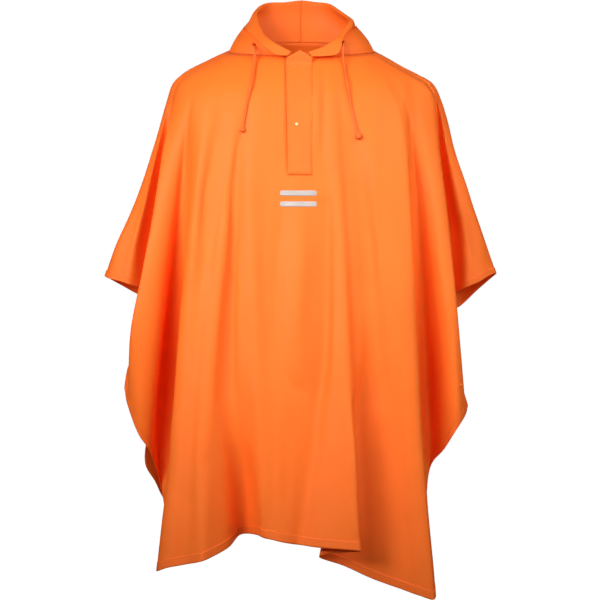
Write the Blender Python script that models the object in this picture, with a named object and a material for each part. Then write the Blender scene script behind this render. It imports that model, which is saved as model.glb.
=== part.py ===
"""Hooded rain poncho, as worn: front and back panels, two-piece hood, half placket, snaps, drawcords.

Sizes are in metres in the scene.  The tables below are in elevation units: `across` and `height` are
counted on the front elevation (across to the right, height downwards from the top of the hood), and
`depth` is in millimetres from the shoulder line, minus towards the front.
"""

import math

import bpy
import numpy as np

# ---------------------------------------------------------------- driving dimensions
UNIT = 0.00195            # metres to one elevation unit
ORIGIN_ACROSS = 300.0     # elevation position of the shoulder centre
ORIGIN_HEIGHT = 52.0
EYE_HEIGHT = 300.0        # the elevation is taken from this height
EYE_DISTANCE = 4.0        # and from this far in front of the shoulder line, in metres

CLOTH = 0.0014            # wall of the coated cloth
SEAM_GAP = 0.0004         # between two pieces sewn together
NECK_GAP = 0.0016         # hood edge above the neck edge
LAY_GAP = 0.0005          # between a piece and the panel it lies on

NECK_CENTRE = 301.0       # across
NECK_SIDE = 52.0          # height of the neck edge at the shoulder
NECK_FRONT_DROP = 4.0     # the neck edge is this much lower at the front
NECK_BACK_RISE = 9.0      # and this much higher at the back
SHOULDER_DEPTH = 8.0      # depth of the shoulder seam, mm

# the yoke between the neck edge and the chest line: half widths in elevation units, depths in mm
# part of the way, left half width, right half width, front reach, back reach
YOKE = (
    (0.00, 72.0, 73.0, 86.0, 68.0),
    (0.12, 86.5, 85.0, 92.0, 74.0),
    (0.25, 100.0, 96.0, 100.0, 80.0),
    (0.42, 115.5, 111.5, 111.0, 88.0),
    (0.67, 128.5, 132.0, 124.0, 97.0),
    (1.00, 134.0, 140.0, 138.0, 108.0),
)
CHEST = 100.0             # height of the chest line
UNDERARM = 300.0          # height of the row through the underarm points

ACROSS_AT = (100.0, 150.0, 200.0, 250.0, 350.0, 450.0)
DEPTH_AT = (100.0, 200.0, 300.0, 400.0)

# one row per fold line of the front panel, from the left sleeve to the right sleeve:
# name, neck angle, across at ACROSS_AT, depth at DEPTH_AT, lower end (height, across, depth)
FRONT = (
    ("arm seam left", 0.0, (167, 153, 136, 112), (12, 5), (276, 105, 0)),
    ("sleeve left a", 3.0, (167.6, 153.5, 138, 116), (0, -18), (278.5, 109, -22)),
    ("sleeve left b", 6.0, (168.5, 156, 143, 126), (-10, -40), (281, 119, -43)),
    ("sleeve left ridge", 9.0, (169.5, 160, 152, 141), (-17, -52), (284.5, 132.5, -57)),
    ("sleeve left wall", 12.0, (171, 165, 162, 155), (-21, -36), (291, 151, -30)),
    ("underarm left", 15.0, (173, 169.5, 171, 170), (-26, -20), (300, 165, 5)),
    ("flank left", 18.0, (173.8, 171, 168, 165, 140), (-38, -52, -48), (396, 126, -48)),
    ("side contour left", 21.0, (175, 163, 155.5, 146.5, 129.5), (-50, -88, -92), (405, 128, -60)),
    ("side crest left", 24.5, (180, 172, 165, 155, 141), (-72, -108, -113, -98), (436, 139.4, -90)),
    ("side inner left", 28.0, (185, 178.5, 171.5, 164, 155), (-86, -103, -99, -86), (450.6, 148.7, -76)),
    ("side valley left", 31.5, (190, 184.5, 177.5, 174, 170, 160), (-96, -90, -70, -56), (478, 157, -46)),
    ("edge wall left", 35.0, (194, 188, 181.5, 180.5, 175, 167), (-103, -112, -103, -92), (556, 160, -88)),
    ("front edge left", 38.5, (199, 192, 187, 183.5, 175.3, 167.3), (-108, -130, -137, -141), (571.3, 156.6, -150)),
    ("front crest left", 42.0, (206, 201, 196, 193, 188, 184), (-113, -141, -151, -155), (568, 170, -162)),
    ("valley a", 46.5, (222, 213, 204, 203, 197, 190), (-117, -135, -149, -155), (564.5, 186, -163)),
    ("ridge b", 51.0, (236, 227, 221, 215, 204, 196), (-124, -146, -157, -163), (561, 202, -172)),
    ("wall b", 55.0, (243, 233, 226, 223, 214, 213), (-124, -143, -151, -153), (548, 226.6, -150)),
    ("valley b", 58.5, (249, 238, 231, 231, 225, 231), (-124, -137, -142, -142), (534.8, 236, -116)),
    ("shoulder b", 62.0, (255, 244, 240, 239, 236, 247), (-126, -142, -149, -151), (535.5, 251, -152)),
    ("ridge c", 66.5, (262, 252, 250, 249, 251, 262), (-128, -148, -155, -161), (538.5, 262, -164)),
    ("valley c", 72.0, (276, 271, 268, 267, 272, 272), (-129, -146, -151, -159), (540, 271, -167)),
    ("placket left", 77.6, (286.3, 287.3, 288.5, 290, 286, 281), (-130, -148, -156, -159), (542, 280, -168)),
    ("centre", 89.3, (300, 300, 303, 305, 300, 293), (-130, -149, -156, -155), (543.7, 289, -163)),
    ("placket right", 99.0, (312.6, 312.4, 319, 321, 315, 303), (-130, -146, -150, -152), (545, 298, -157)),
    ("flat e", 101.5, (319, 323, 327, 328, 325, 322), (-129, -146, -153, -158), (547.7, 318, -166)),
    ("ridge e", 104.5, (326, 332, 333.5, 334, 334, 342), (-129, -148, -158, -167), (549.7, 344, -178)),
    ("pleat edge", 107.5, (332, 340, 343, 345, 342.5, 353), (-127, -143, -155, -167), (551.5, 360.8, -176)),
    ("pleat back", 110.5, (336, 345, 348.5, 350, 342, 341), (-126, -141, -150, -156), (553, 336, -160)),
    ("pleat inner", 113.5, (340, 349, 353.5, 356, 343, 329), (-125, -140, -148, -148), (556.8, 319, -149)),
    ("pleat under", 116.5, (344, 353, 358, 361, 352, 345), (-124, -140, -147, -141), (566, 344, -142)),
    ("valley f", 120.0, (350, 358, 363, 367, 367, 370), (-123, -141, -147, -141), (577, 372, -141)),
    ("ridge g", 125.0, (362, 371, 377, 382, 388, 394), (-122, -145, -153, -156), (586.5, 399, -156)),
    ("front crest right", 131.0, (381, 391, 396, 400, 405, 411), (-114, -142, -152, -157), (594, 419, -161)),
    ("front edge right", 136.0, (396, 404, 409, 412.3, 416.7, 422.5), (-106, -130, -139, -144), (599.4, 434.5, -152)),
    ("edge wall right", 140.0, (401, 409, 413.5, 416, 421, 426), (-100, -112, -104, -92), (560, 427, -86)),
    ("side valley right", 144.0, (406, 413.5, 418, 421, 430, 433), (-93, -92, -76, -62), (468, 431, -56)),
    ("side inner right", 148.0, (412, 419, 427, 431, 444), (-86, -103, -99, -86), (448, 444, -76)),
    ("side crest right", 152.0, (420, 427, 435, 441, 455), (-72, -110, -113, -94), (424, 461, -84)),
    ("side contour right", 155.5, (433.5, 439.5, 446, 451.5, 460.8), (-50, -88, -90), (414, 465.3, -58)),
    ("flank right", 159.0, (434.2, 434, 436, 436, 450), (-38, -52, -48), (409, 466.5, -47)),
    ("underarm right", 162.0, (434.5, 434.5, 433, 434), (-26, -20), (300, 437, 5)),
    ("sleeve right wall", 165.0, (435.5, 440, 445, 447), (-21, -36), (295, 450, -30)),
    ("sleeve right ridge", 169.0, (437, 446, 454, 458), (-17, -53), (287.5, 458, -57)),
    ("sleeve right b", 173.0, (438.8, 451, 464, 474), (-10, -42), (282, 474, -44)),
    ("sleeve right a", 176.5, (440.2, 454, 469.5, 484), (0, -20), (277, 487, -22)),
    ("arm seam right", 180.0, (441, 454.5, 471, 488), (12, 5), (273.5, 496, 0)),
)

# the same for the back panel, from the left sleeve to the right sleeve, without the two arm seams
BACK = (
    ("sleeve left a", 4.0, (168, 154.5, 139.5, 118), (22, 24), (281, 112, 22)),
    ("sleeve left b", 9.0, (169, 158, 147, 130), (34, 46), (289, 124, 46)),
    ("sleeve left ridge", 14.0, (171, 164, 158, 147), (44, 60), (296, 139.4, 59)),
    ("sleeve left wall", 18.0, (173, 168, 165, 158), (49, 48), (299, 154, 34)),
    ("underarm left", 22.0, (175, 171, 172, 171), (55, 34), (300, 165, 5)),
    ("flank left", 26.0, (176.5, 172, 170, 168, 150), (64, 68, 60), (398, 131, 20)),
    ("side contour left", 31.0, (179, 168, 161, 157, 143), (76, 98, 100), (415, 137, 48)),
    ("side crest left", 37.0, (185, 178, 172, 168, 160, 149.5), (90, 118, 122, 104), (463.2, 145.3, 88)),
    ("side valley left", 43.5, (195, 190, 187, 184, 180, 170), (100, 110, 98, 88), (499, 164, 80)),
    ("edge left", 50.0, (204, 198, 194, 192, 190, 184), (106, 124, 126, 124), (516, 181, 120)),
    ("ridge 1", 57.0, (215, 210, 208, 207, 205, 204), (110, 132, 142, 148), (526, 204, 150)),
    ("valley 1", 66.0, (236, 233, 232, 232, 231, 230), (113, 128, 131, 132), (530, 230, 130)),
    ("ridge 2", 77.0, (264, 262, 261, 260, 259, 258), (116, 136, 146, 152), (532, 257, 156)),
    ("centre", 89.3, (299, 298, 297, 296, 295, 295), (116, 130, 136, 139), (532, 294, 139)),
    ("ridge 3", 103.0, (334, 337, 336, 335, 333, 333), (116, 136, 147, 153), (532, 332, 157)),
    ("valley 2", 114.0, (362, 368, 368, 367, 366, 366), (113, 126, 131, 132), (527, 366, 132)),
    ("ridge 4", 123.0, (386, 394, 396, 397, 398, 398), (110, 131, 142, 148), (508, 398, 148)),
    ("edge right", 130.0, (398, 406, 407, 408, 410, 411), (105, 124, 126, 122), (492, 411, 118)),
    ("side valley right", 136.5, (408, 414, 415, 416, 419, 421), (98, 110, 98, 88), (478, 421, 82)),
    ("side crest right", 143.0, (420, 426, 430, 434, 441), (88, 118, 121, 100), (440, 446, 90)),
    ("side contour right", 149.0, (430, 435, 438, 442, 453), (74, 98, 98), (421, 457, 52)),
    ("flank right", 154.0, (432, 433, 434, 436, 452), (63, 68, 58), (411, 464, 15)),
    ("underarm right", 158.0, (433.5, 433.5, 432, 433), (55, 34), (300, 437, 5)),
    ("sleeve right wall", 162.0, (435, 438, 441, 444), (49, 48), (306, 448, 34)),
    ("sleeve right ridge", 166.0, (437, 444, 450, 455), (44, 60), (308, 457, 59)),
    ("sleeve right b", 171.0, (439, 451, 463, 473), (34, 46), (292, 475, 46)),
    ("sleeve right a", 176.0, (440.3, 454, 469.5, 485), (22, 24), (279.5, 489, 22)),
)
# the side closures below the underarm points: stations (height, across, depth) down to the hem
CLOSURE_LEFT = ((300, 165, 5), (350, 144, -8), (387, 125.1, -38))
CLOSURE_RIGHT = ((300, 437, 5), (350, 450, -8), (405, 467, -36))
UNDER_LEFT = 5            # where the underarm lines stand in FRONT
UNDER_RIGHT = 40
BACK_UNDER_LEFT = 4       # and in BACK
BACK_UNDER_RIGHT = 22
FRONT_WIDE = (13, 14, 21, 22, 30, 31, 32)     # intervals of FRONT that are cut in two
BACK_WIDE = (11, 12, 13, 14, 15)              # the same for BACK

# one row per line of the hood, from the left front end round the back to the right front end:
# neck angle, side (-1 front, 1 back), crest (across, height, depth), free edge, drop of the pouch mm
HOOD = (
    (83.5, -1, (292, 52.4, -82), (288.5, 54.2, -88), 0),
    (74.0, -1, (282.5, 47.5, -82), (277, 52.0, -90), 0),
    (61.0, -1, (270, 40, -76), (262.5, 43.8, -86), 0),
    (48.0, -1, (262.5, 34, -60), (254, 37.5, -73), 0),
    (31.0, -1, (257.5, 25.5, -36), (247.5, 31.5, -49), 0),
    (12.0, -1, (254.0, 17.5, -8), (244.2, 28.5, -18), 5),
    (8.0, 1, (253.2, 13, 20), (243.5, 29, 22), 16),
    (27.0, 1, (256.8, 9.2, 47), (250, 25, 80), 44),
    (44.0, 1, (261.5, 6, 68), (258, 25, 118), 84),
    (60.0, 1, (268.3, 3.4, 85), (269, 26, 144), 126),
    (76.0, 1, (284, 3.0, 95), (286, 26, 157), 158),
    (90.0, 1, (301.5, 1.2, 98), (301.5, 26, 161), 164),
    (103.0, 1, (316, 2.8, 95), (317, 26, 157), 158),
    (118.0, 1, (328.6, 4.2, 85), (333, 27, 144), 126),
    (136.0, 1, (337, 9.6, 68), (343, 28, 118), 84),
    (153.0, 1, (343.5, 14.2, 47), (350, 29, 80), 44),
    (172.0, 1, (349, 18.2, 20), (357, 31, 22), 16),
    (168.0, -1, (350.8, 20.6, -8), (357.2, 28, -16), 5),
    (149.0, -1, (346, 27.5, -36), (350.5, 31, -48), 0),
    (132.0, -1, (339.5, 35.8, -59), (343, 38.2, -70), 0),
    (119.0, -1, (331, 41.8, -74), (333.5, 44.8, -84), 0),
    (106.0, -1, (320, 48.0, -82), (321.5, 50.8, -89), 0),
    (95.5, -1, (308, 52.2, -82), (309, 54.4, -88), 0),
)
HOOD_CENTRE = 11
HOOD_WALL = (0.0, 0.35, 0.7)                  # rows between the neck seam and the crest
HOOD_BULGE = 0.007                            # how far the wall stands out between them
HOOD_CREST_WIDTH = 0.004
HOOD_FALL = ((0.3, 0.04), (0.53, 0.38), (0.67, 0.82), (0.77, 1.0), (0.88, 0.88), (0.97, 0.42), (1.0, 0.0))

# rows of the panels: parts of the way from neck to underarm, and from underarm to hem
UPPER_ROWS = (0.0, 0.025, 0.055, 0.09, 0.13, 0.18, 0.24, 0.31, 0.38, 0.435, 0.492, 0.56,
              0.64, 0.72, 0.80, 0.87, 0.94, 1.0)
LOWER_ROWS = (0.09, 0.18, 0.28, 0.38, 0.48, 0.58, 0.68, 0.77, 0.86, 0.94, 1.0)


# ---------------------------------------------------------------- placing
def place(across, height, depth_mm):
    """Elevation position and depth to scene coordinates in metres."""
    depth = depth_mm / 1000.0
    nearer = (EYE_DISTANCE + depth) / EYE_DISTANCE
    x = (across - ORIGIN_ACROSS) * UNIT * nearer
    z = (EYE_HEIGHT - height) * UNIT * nearer - (EYE_HEIGHT - ORIGIN_HEIGHT) * UNIT
    return np.array((x, depth, z))


def smooth_through(stations, values, at):
    """A curve through the values that never swings past them."""
    s = np.asarray(stations, float)
    v = np.asarray(values, float)
    if len(s) == 1:
        return float(v[0])
    step = np.diff(s)
    rise = np.diff(v) / step
    slope = np.zeros(len(s))
    slope[0] = rise[0]
    slope[-1] = rise[-1]
    for i in range(1, len(s) - 1):
        if rise[i - 1] * rise[i] > 0:
            near = 2 * step[i] + step[i - 1]
            far = step[i] + 2 * step[i - 1]
            slope[i] = (near + far) / (near / rise[i - 1] + far / rise[i])
    i = int(np.clip(np.searchsorted(s, at) - 1, 0, len(s) - 2))
    t = (at - s[i]) / step[i]
    t = min(max(t, 0.0), 1.0)
    return float(
        (2 * t**3 - 3 * t**2 + 1) * v[i]
        + (t**3 - 2 * t**2 + t) * step[i] * slope[i]
        + (-2 * t**3 + 3 * t**2) * v[i + 1]
        + (t**3 - t**2) * step[i] * slope[i + 1]
    )


def route_of(fold, side):
    """The stations of a fold line from the neck edge down: heights, acrosses and depths."""
    _, degrees, across_row, depth_row, end = fold
    end_height, end_across, end_depth = end
    neck_angle = math.radians(degrees)
    drop = NECK_FRONT_DROP if side < 0 else -NECK_BACK_RISE
    neck_height = NECK_SIDE + drop * math.sin(neck_angle)
    reach_column = 3 if side < 0 else 4
    half_chest = YOKE[-1][1] if across_row[0] < NECK_CENTRE else YOKE[-1][2]
    chest_cos = (NECK_CENTRE - across_row[0]) / half_chest
    chest_angle = math.acos(min(1.0, max(-1.0, chest_cos)))
    half_neck = YOKE[0][1] if degrees < 90 else YOKE[0][2]
    neck_offset = half_neck * math.cos(neck_angle)
    chest_offset = half_chest * math.cos(chest_angle)
    plain_reach = YOKE[-1][reach_column] * math.sin(chest_angle)
    wanted = side * (depth_row[0] - SHOULDER_DEPTH)
    fit = wanted - plain_reach
    heights = []
    acrosses = []
    depths = []
    for part, left, right, front_reach, back_reach in YOKE[:-1]:
        angle = neck_angle + (chest_angle - neck_angle) * part
        half = left if math.cos(angle) > 0 else right
        reach = front_reach if side < 0 else back_reach
        turned = half * math.cos(angle)
        straight = neck_offset + (chest_offset - neck_offset) * part
        middle = math.sin(angle) ** 6
        offset = turned + (straight - turned) * middle
        angle = math.acos(offset / half)
        heights.append(neck_height + (CHEST - neck_height) * part)
        acrosses.append(NECK_CENTRE - offset)
        depths.append(SHOULDER_DEPTH + side * (reach * math.sin(angle) + fit * part))
    across_stations = list(zip(heights, acrosses))
    depth_stations = list(zip(heights, depths))
    for height, across in zip(ACROSS_AT, across_row):
        if height < end_height - 6:
            across_stations.append((height, across))
    for height, depth in zip(DEPTH_AT, depth_row):
        if height < end_height - 6:
            depth_stations.append((height, depth))
    across_stations.append((end_height, end_across))
    depth_stations.append((end_height, end_depth))
    return neck_height, end_height, across_stations, depth_stations


def point_on(route, height):
    _, _, across_stations, depth_stations = route
    across = smooth_through(*zip(*across_stations), height)
    depth = smooth_through(*zip(*depth_stations), height)
    return place(across, height, depth)


def fold_points(fold, side, below):
    """The points of a fold line on every row; `below` says whether it goes on below the underarm row."""
    route = route_of(fold, side)
    neck_height, end_height = route[0], route[1]
    middle = UNDERARM if below else end_height
    heights = [neck_height + (middle - neck_height) * part for part in UPPER_ROWS]
    if below:
        heights += [middle + (end_height - middle) * part for part in LOWER_ROWS]
    return [point_on(route, height) for height in heights]


def through_ring(points, parts, closed=True):
    """Points on a smooth curve through `points`; interval i is cut into parts[i] pieces."""
    pts = np.asarray(points, float)
    n = len(pts)
    count = n if closed else n - 1

    def at(i):
        if closed:
            return pts[i % n]
        return pts[min(max(i, 0), n - 1)]

    out = []
    for i in range(count):
        p0, p1, p2, p3 = at(i - 1), at(i), at(i + 1), at(i + 2)
        d01 = max(np.linalg.norm(p1 - p0), 1e-5) ** 0.5
        d12 = max(np.linalg.norm(p2 - p1), 1e-5) ** 0.5
        d23 = max(np.linalg.norm(p3 - p2), 1e-5) ** 0.5
        m1 = p2 - p1
        m2 = p2 - p1
        if closed or i > 0:
            m1 = (p2 - p1) + d12 * ((p1 - p0) / d01 - (p2 - p0) / (d01 + d12))
        if closed or i < count - 1:
            m2 = (p2 - p1) + d12 * ((p3 - p2) / d23 - (p3 - p1) / (d12 + d23))
        for k in range(parts[i]):
            t = k / parts[i]
            out.append(
                (2 * t**3 - 3 * t**2 + 1) * p1
                + (t**3 - 2 * t**2 + t) * m1
                + (-2 * t**3 + 3 * t**2) * p2
                + (t**3 - t**2) * m2
            )
    if not closed:
        out.append(pts[-1])
    return out


# ---------------------------------------------------------------- grids of the two panels
def station_curve(stations, height):
    heights, acrosses, depths = zip(*stations)
    return place(smooth_through(heights, acrosses, height), height, smooth_through(heights, depths, height))


def closure_points(stations):
    first, last = stations[0][0], stations[-1][0]
    heights = [first + (last - first) * part for part in LOWER_ROWS]
    return [station_curve(stations, height) for height in heights]


def panel_grids():
    """Rows of points of the front and the back panel; None where a sleeve has ended."""
    front_folds = []
    for i, fold in enumerate(FRONT):
        front_folds.append(fold_points(fold, -1, UNDER_LEFT < i < UNDER_RIGHT))
    back_folds = []
    for i, fold in enumerate(BACK):
        back_folds.append(fold_points(fold, 1, BACK_UNDER_LEFT < i < BACK_UNDER_RIGHT))
    front_folds[UNDER_LEFT] += closure_points(CLOSURE_LEFT)
    front_folds[UNDER_RIGHT] += closure_points(CLOSURE_RIGHT)
    last_upper = len(UPPER_ROWS) - 1
    back_folds[BACK_UNDER_LEFT][last_upper] = front_folds[UNDER_LEFT][last_upper]
    back_folds[BACK_UNDER_RIGHT][last_upper] = front_folds[UNDER_RIGHT][last_upper]
    front_parts = [2 if i in FRONT_WIDE else 1 for i in range(len(FRONT) - 1)]
    back_parts = [2 if i - 1 in BACK_WIDE else 1 for i in range(len(BACK) + 1)]
    front_rows = []
    back_rows = []
    for row in range(len(UPPER_ROWS)):
        ring = [fold[row] for fold in front_folds]
        ring += [fold[row] for fold in reversed(back_folds)]
        points = through_ring(ring, front_parts + back_parts[::-1])
        cut = sum(front_parts)
        front_rows.append(points[:cut + 1])
        back_rows.append((points[cut:] + points[:1])[::-1])
    front_lead = sum(front_parts[:UNDER_LEFT])
    front_tail = sum(front_parts[UNDER_RIGHT:])
    back_lead = sum(back_parts[:BACK_UNDER_LEFT + 1])
    back_tail = sum(back_parts[BACK_UNDER_RIGHT + 1:])
    body_front = front_parts[UNDER_LEFT:UNDER_RIGHT]
    body_back = back_parts[BACK_UNDER_LEFT + 1:BACK_UNDER_RIGHT + 1]
    for row in range(len(UPPER_ROWS), len(UPPER_ROWS) + len(LOWER_ROWS)):
        ring = [fold[row] for fold in front_folds[UNDER_LEFT:UNDER_RIGHT + 1]]
        ring += [fold[row] for fold in reversed(back_folds[BACK_UNDER_LEFT + 1:BACK_UNDER_RIGHT])]
        points = through_ring(ring, body_front + body_back[::-1])
        cut = sum(body_front)
        front_rows.append([None] * front_lead + points[:cut + 1] + [None] * front_tail)
        back_rows.append([None] * back_lead + (points[cut:] + points[:1])[::-1] + [None] * back_tail)
    return front_rows, back_rows, (front_lead, back_lead, len(front_rows[0]) - 1 - front_tail,
                                   len(back_rows[0]) - 1 - back_tail)


def cells_of(rows):
    found = []
    for r in range(len(rows) - 1):
        for c in range(len(rows[0]) - 1):
            corners = (rows[r][c], rows[r][c + 1], rows[r + 1][c + 1], rows[r + 1][c])
            if all(corner is not None for corner in corners):
                found.append((r, c))
    return found


def add_normals(rows, outward_back, total, key_of):
    """Adds each cell's normal to the points it touches; key_of names the points that two panels share."""
    for r, c in cells_of(rows):
        a, b, d, e = rows[r][c], rows[r][c + 1], rows[r + 1][c + 1], rows[r + 1][c]
        normal = np.cross(d - a, e - b)
        if not outward_back:
            normal = -normal
        for corner in ((r, c), (r, c + 1), (r + 1, c + 1), (r + 1, c)):
            key = key_of(corner)
            total[key] = total.get(key, 0) + normal


def unit(vector):
    length = np.linalg.norm(vector)
    return vector / length if length > 0 else vector


def slide(rows, normals, r, c, towards, distance):
    """Moves a rim point along the cloth towards its neighbour."""
    along = towards - rows[r][c]
    normal = normals[(r, c)]
    along = along - normal * np.dot(along, normal)
    rows[r][c] = rows[r][c] + unit(along) * distance


def sheet_mesh(rows, normals, thickness, outward_back):
    """A closed wall round a grid of middle points."""
    index = {}
    verts = []
    for r, row in enumerate(rows):
        for c, point in enumerate(row):
            if point is None:
                continue
            index[(r, c)] = len(verts)
            normal = normals[(r, c)]
            verts.append(point + normal * thickness / 2)
            verts.append(point - normal * thickness / 2)
    faces = []
    edges = {}
    for r, c in cells_of(rows):
        loop = [(r, c), (r, c + 1), (r + 1, c + 1), (r + 1, c)]
        if not outward_back:
            loop.reverse()
        outer = [index[key] for key in loop]
        faces.append(tuple(outer))
        faces.append(tuple(i + 1 for i in reversed(outer)))
        for i in range(4):
            a, b = outer[i], outer[(i + 1) % 4]
            if (b, a) in edges:
                del edges[(b, a)]
            else:
                edges[(a, b)] = True
    for a, b in edges:
        faces.append((b, a, a + 1, b + 1))
    used = sorted({i for face in faces for i in face})
    renumber = {old: new for new, old in enumerate(used)}
    verts = [tuple(verts[i]) for i in used]
    faces = [tuple(renumber[i] for i in face) for face in faces]
    return verts, faces


# ---------------------------------------------------------------- scene objects
for old in list(bpy.data.objects):
    bpy.data.objects.remove(old, do_unlink=True)

poncho = bpy.data.collections.new("hooded_rain_poncho")
bpy.context.scene.collection.children.link(poncho)


def material(name, colour, roughness, metallic=0.0):
    mat = bpy.data.materials.new(name)
    mat.use_nodes = True
    shader = mat.node_tree.nodes["Principled BSDF"]
    shader.inputs["Base Color"].default_value = (*colour, 1.0)
    shader.inputs["Roughness"].default_value = roughness
    shader.inputs["Metallic"].default_value = metallic
    mat.diffuse_color = (*colour, 1.0)
    return mat


def add_mesh(name, verts, faces, mat):
    mesh = bpy.data.meshes.new(name)
    mesh.from_pydata([tuple(v) for v in verts], [], [tuple(f) for f in faces])
    mesh.validate()
    mesh.update()
    obj = bpy.data.objects.new(name, mesh)
    obj.data.materials.append(mat)
    poncho.objects.link(obj)
    return obj


ORANGE = (0.95, 0.26, 0.04)
CLOTH_FRONT = material("coated_cloth_front", ORANGE, 0.42)
CLOTH_BACK = material("coated_cloth_back", ORANGE, 0.42)
CLOTH_HOOD_LEFT = material("coated_cloth_hood_left", ORANGE, 0.42)
CLOTH_HOOD_RIGHT = material("coated_cloth_hood_right", ORANGE, 0.42)
CLOTH_PLACKET = material("coated_cloth_placket", ORANGE, 0.42)
CORD_LEFT = material("cord_left", (0.9, 0.2, 0.03), 0.6)
CORD_RIGHT = material("cord_right", (0.9, 0.2, 0.03), 0.6)
BRASS = material("brass_snap", (0.75, 0.5, 0.2), 0.3, 1.0)
BRASS_SIDE = material("brass_snap_side", (0.75, 0.5, 0.2), 0.3, 1.0)
COVERED = material("covered_snap", ORANGE, 0.45)
EYELET_MATERIALS = {
    "left": material("eyelet_left", (0.85, 0.22, 0.04), 0.4),
    "right": material("eyelet_right", (0.85, 0.22, 0.04), 0.4),
}
KNOT_MATERIALS = {
    "left": material("cord_knot_left", (0.9, 0.2, 0.03), 0.6),
    "right": material("cord_knot_right", (0.9, 0.2, 0.03), 0.6),
}

# ---------------------------------------------------------------- panels
front_rows, back_rows, (front_left, back_left, front_right, back_right) = panel_grids()
last_upper_row = len(UPPER_ROWS) - 1


def front_key(corner):
    return ("front", corner)


def back_key(corner):
    """Points on the seams carry the front panel's key."""
    r, c = corner
    if r <= last_upper_row and c == 0:
        return ("front", (r, 0))
    if r <= last_upper_row and c == len(back_rows[0]) - 1:
        return ("front", (r, len(front_rows[0]) - 1))
    if r > last_upper_row and c == back_left:
        return ("front", (r, front_left))
    if r > last_upper_row and c == back_right:
        return ("front", (r, front_right))
    return ("back", corner)


total = {}
add_normals(front_rows, False, total, front_key)
add_normals(back_rows, True, total, back_key)
front_normals = {
    (r, c): unit(total[front_key((r, c))])
    for r, row in enumerate(front_rows)
    for c, point in enumerate(row)
    if point is not None
}
back_normals = {
    (r, c): unit(total[back_key((r, c))])
    for r, row in enumerate(back_rows)
    for c, point in enumerate(row)
    if point is not None
}
half_gap = SEAM_GAP / 2
UNDERARM_EASE = 0.001
for rows, normals, left, right, back in (
    (front_rows, front_normals, front_left, front_right, -1.0),
    (back_rows, back_normals, back_left, back_right, 1.0),
):
    last = len(rows[0]) - 1
    for r in range(len(rows)):
        if r <= last_upper_row:
            slide(rows, normals, r, 0, rows[r][1], half_gap)
            slide(rows, normals, r, last, rows[r][last - 1], half_gap)
        else:
            slide(rows, normals, r, left, rows[r][left + 1], half_gap)
            slide(rows, normals, r, right, rows[r][right - 1], half_gap)
    for c in (left, right):
        rows[last_upper_row][c] = rows[last_upper_row][c] + np.array((0.0, back * UNDERARM_EASE, 0.0))

add_mesh("front_panel", *sheet_mesh(front_rows, front_normals, CLOTH, False), CLOTH_FRONT)
add_mesh("back_panel", *sheet_mesh(back_rows, back_normals, CLOTH, True), CLOTH_BACK)


# ---------------------------------------------------------------- hood
def neck_point(degrees, side):
    angle = math.radians(degrees)
    half = YOKE[0][1] if math.cos(angle) > 0 else YOKE[0][2]
    reach = YOKE[0][3] if side < 0 else YOKE[0][4]
    drop = NECK_FRONT_DROP if side < 0 else -NECK_BACK_RISE
    height = NECK_SIDE + drop * math.sin(angle)
    depth = SHOULDER_DEPTH + side * reach * math.sin(angle)
    return place(NECK_CENTRE - half * math.cos(angle), height, depth)


def hood_rows():
    centre = place(NECK_CENTRE, NECK_SIDE, SHOULDER_DEPTH)
    columns = []
    for degrees, side, crest_at, edge_at, drop in HOOD:
        seam = neck_point(degrees, side) + np.array((0.0, 0.0, NECK_GAP))
        crest = place(*crest_at)
        edge = place(*edge_at)
        out = unit((seam - centre) * np.array((1.0, 1.0, 0.0)))
        inner_crest = crest - out * HOOD_CREST_WIDTH / 2
        outer_crest = crest + out * HOOD_CREST_WIDTH / 2
        wall_height = np.linalg.norm(inner_crest - seam)
        bulge = min(HOOD_BULGE, wall_height * 0.08)
        column = []
        for part in HOOD_WALL:
            column.append(seam + (inner_crest - seam) * part + out * bulge * math.sin(math.pi * part))
        column.append(inner_crest)
        column.append(outer_crest)
        for part, fall in HOOD_FALL:
            down = np.array((0.0, 0.0, -drop / 1000.0 * fall))
            column.append(outer_crest + (edge - outer_crest) * part + down)
        columns.append(column)
    rows = []
    for r in range(len(columns[0])):
        rows.append(through_ring([column[r] for column in columns], [1] * (len(columns) - 1), closed=False))
    return rows


hood = hood_rows()
total = {}
add_normals(hood, False, total, front_key)
hood_normals = {key[1]: unit(value) for key, value in total.items()}
for name, first, last, mat in (
    ("hood_left", 0, HOOD_CENTRE, CLOTH_HOOD_LEFT),
    ("hood_right", HOOD_CENTRE, len(HOOD) - 1, CLOTH_HOOD_RIGHT),
):
    rows = [list(row[first:last + 1]) for row in hood]
    normals = {(r, c - first): n for (r, c), n in hood_normals.items() if first <= c <= last}
    rim = HOOD_CENTRE - first
    inward = rim - 1 if rim else 1
    for r in range(len(rows)):
        slide(rows, normals, r, rim, rows[r][inward], half_gap)
    add_mesh(name, *sheet_mesh(rows, normals, CLOTH, False), mat)


# ---------------------------------------------------------------- placket
PLACKET_LEFT = "placket left"
PLACKET_RIGHT = "placket right"
PLACKET_LAST_PART = 0.492                     # of the way from the neck to the underarm row
PLACKET_TIP = ((286.5, 57.6), (293.2, 53.8), (300.0, 50.0), (306.3, 53.4), (312.2, 57.2))   # across, height
PLACKET_TIP_DEPTH = -91.0
BAND = 0.0014


def column_of(name):
    """The grid column of a named fold of the front panel."""
    names = [fold[0] for fold in FRONT]
    wanted = names.index(name)
    return sum(2 if i in FRONT_WIDE else 1 for i in range(wanted))


def placket_rows():
    first, last = column_of(PLACKET_LEFT), column_of(PLACKET_RIGHT)
    lift = CLOTH / 2 + LAY_GAP + BAND / 2
    rows = [[place(across, height, PLACKET_TIP_DEPTH) for across, height in PLACKET_TIP]]
    for r, part in enumerate(UPPER_ROWS):
        if 0.03 < part <= PLACKET_LAST_PART:
            row = []
            for c in range(first, last + 1):
                row.append(front_rows[r][c] + front_normals[(r, c)] * lift)
            rows.append(row)
    return rows


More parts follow.
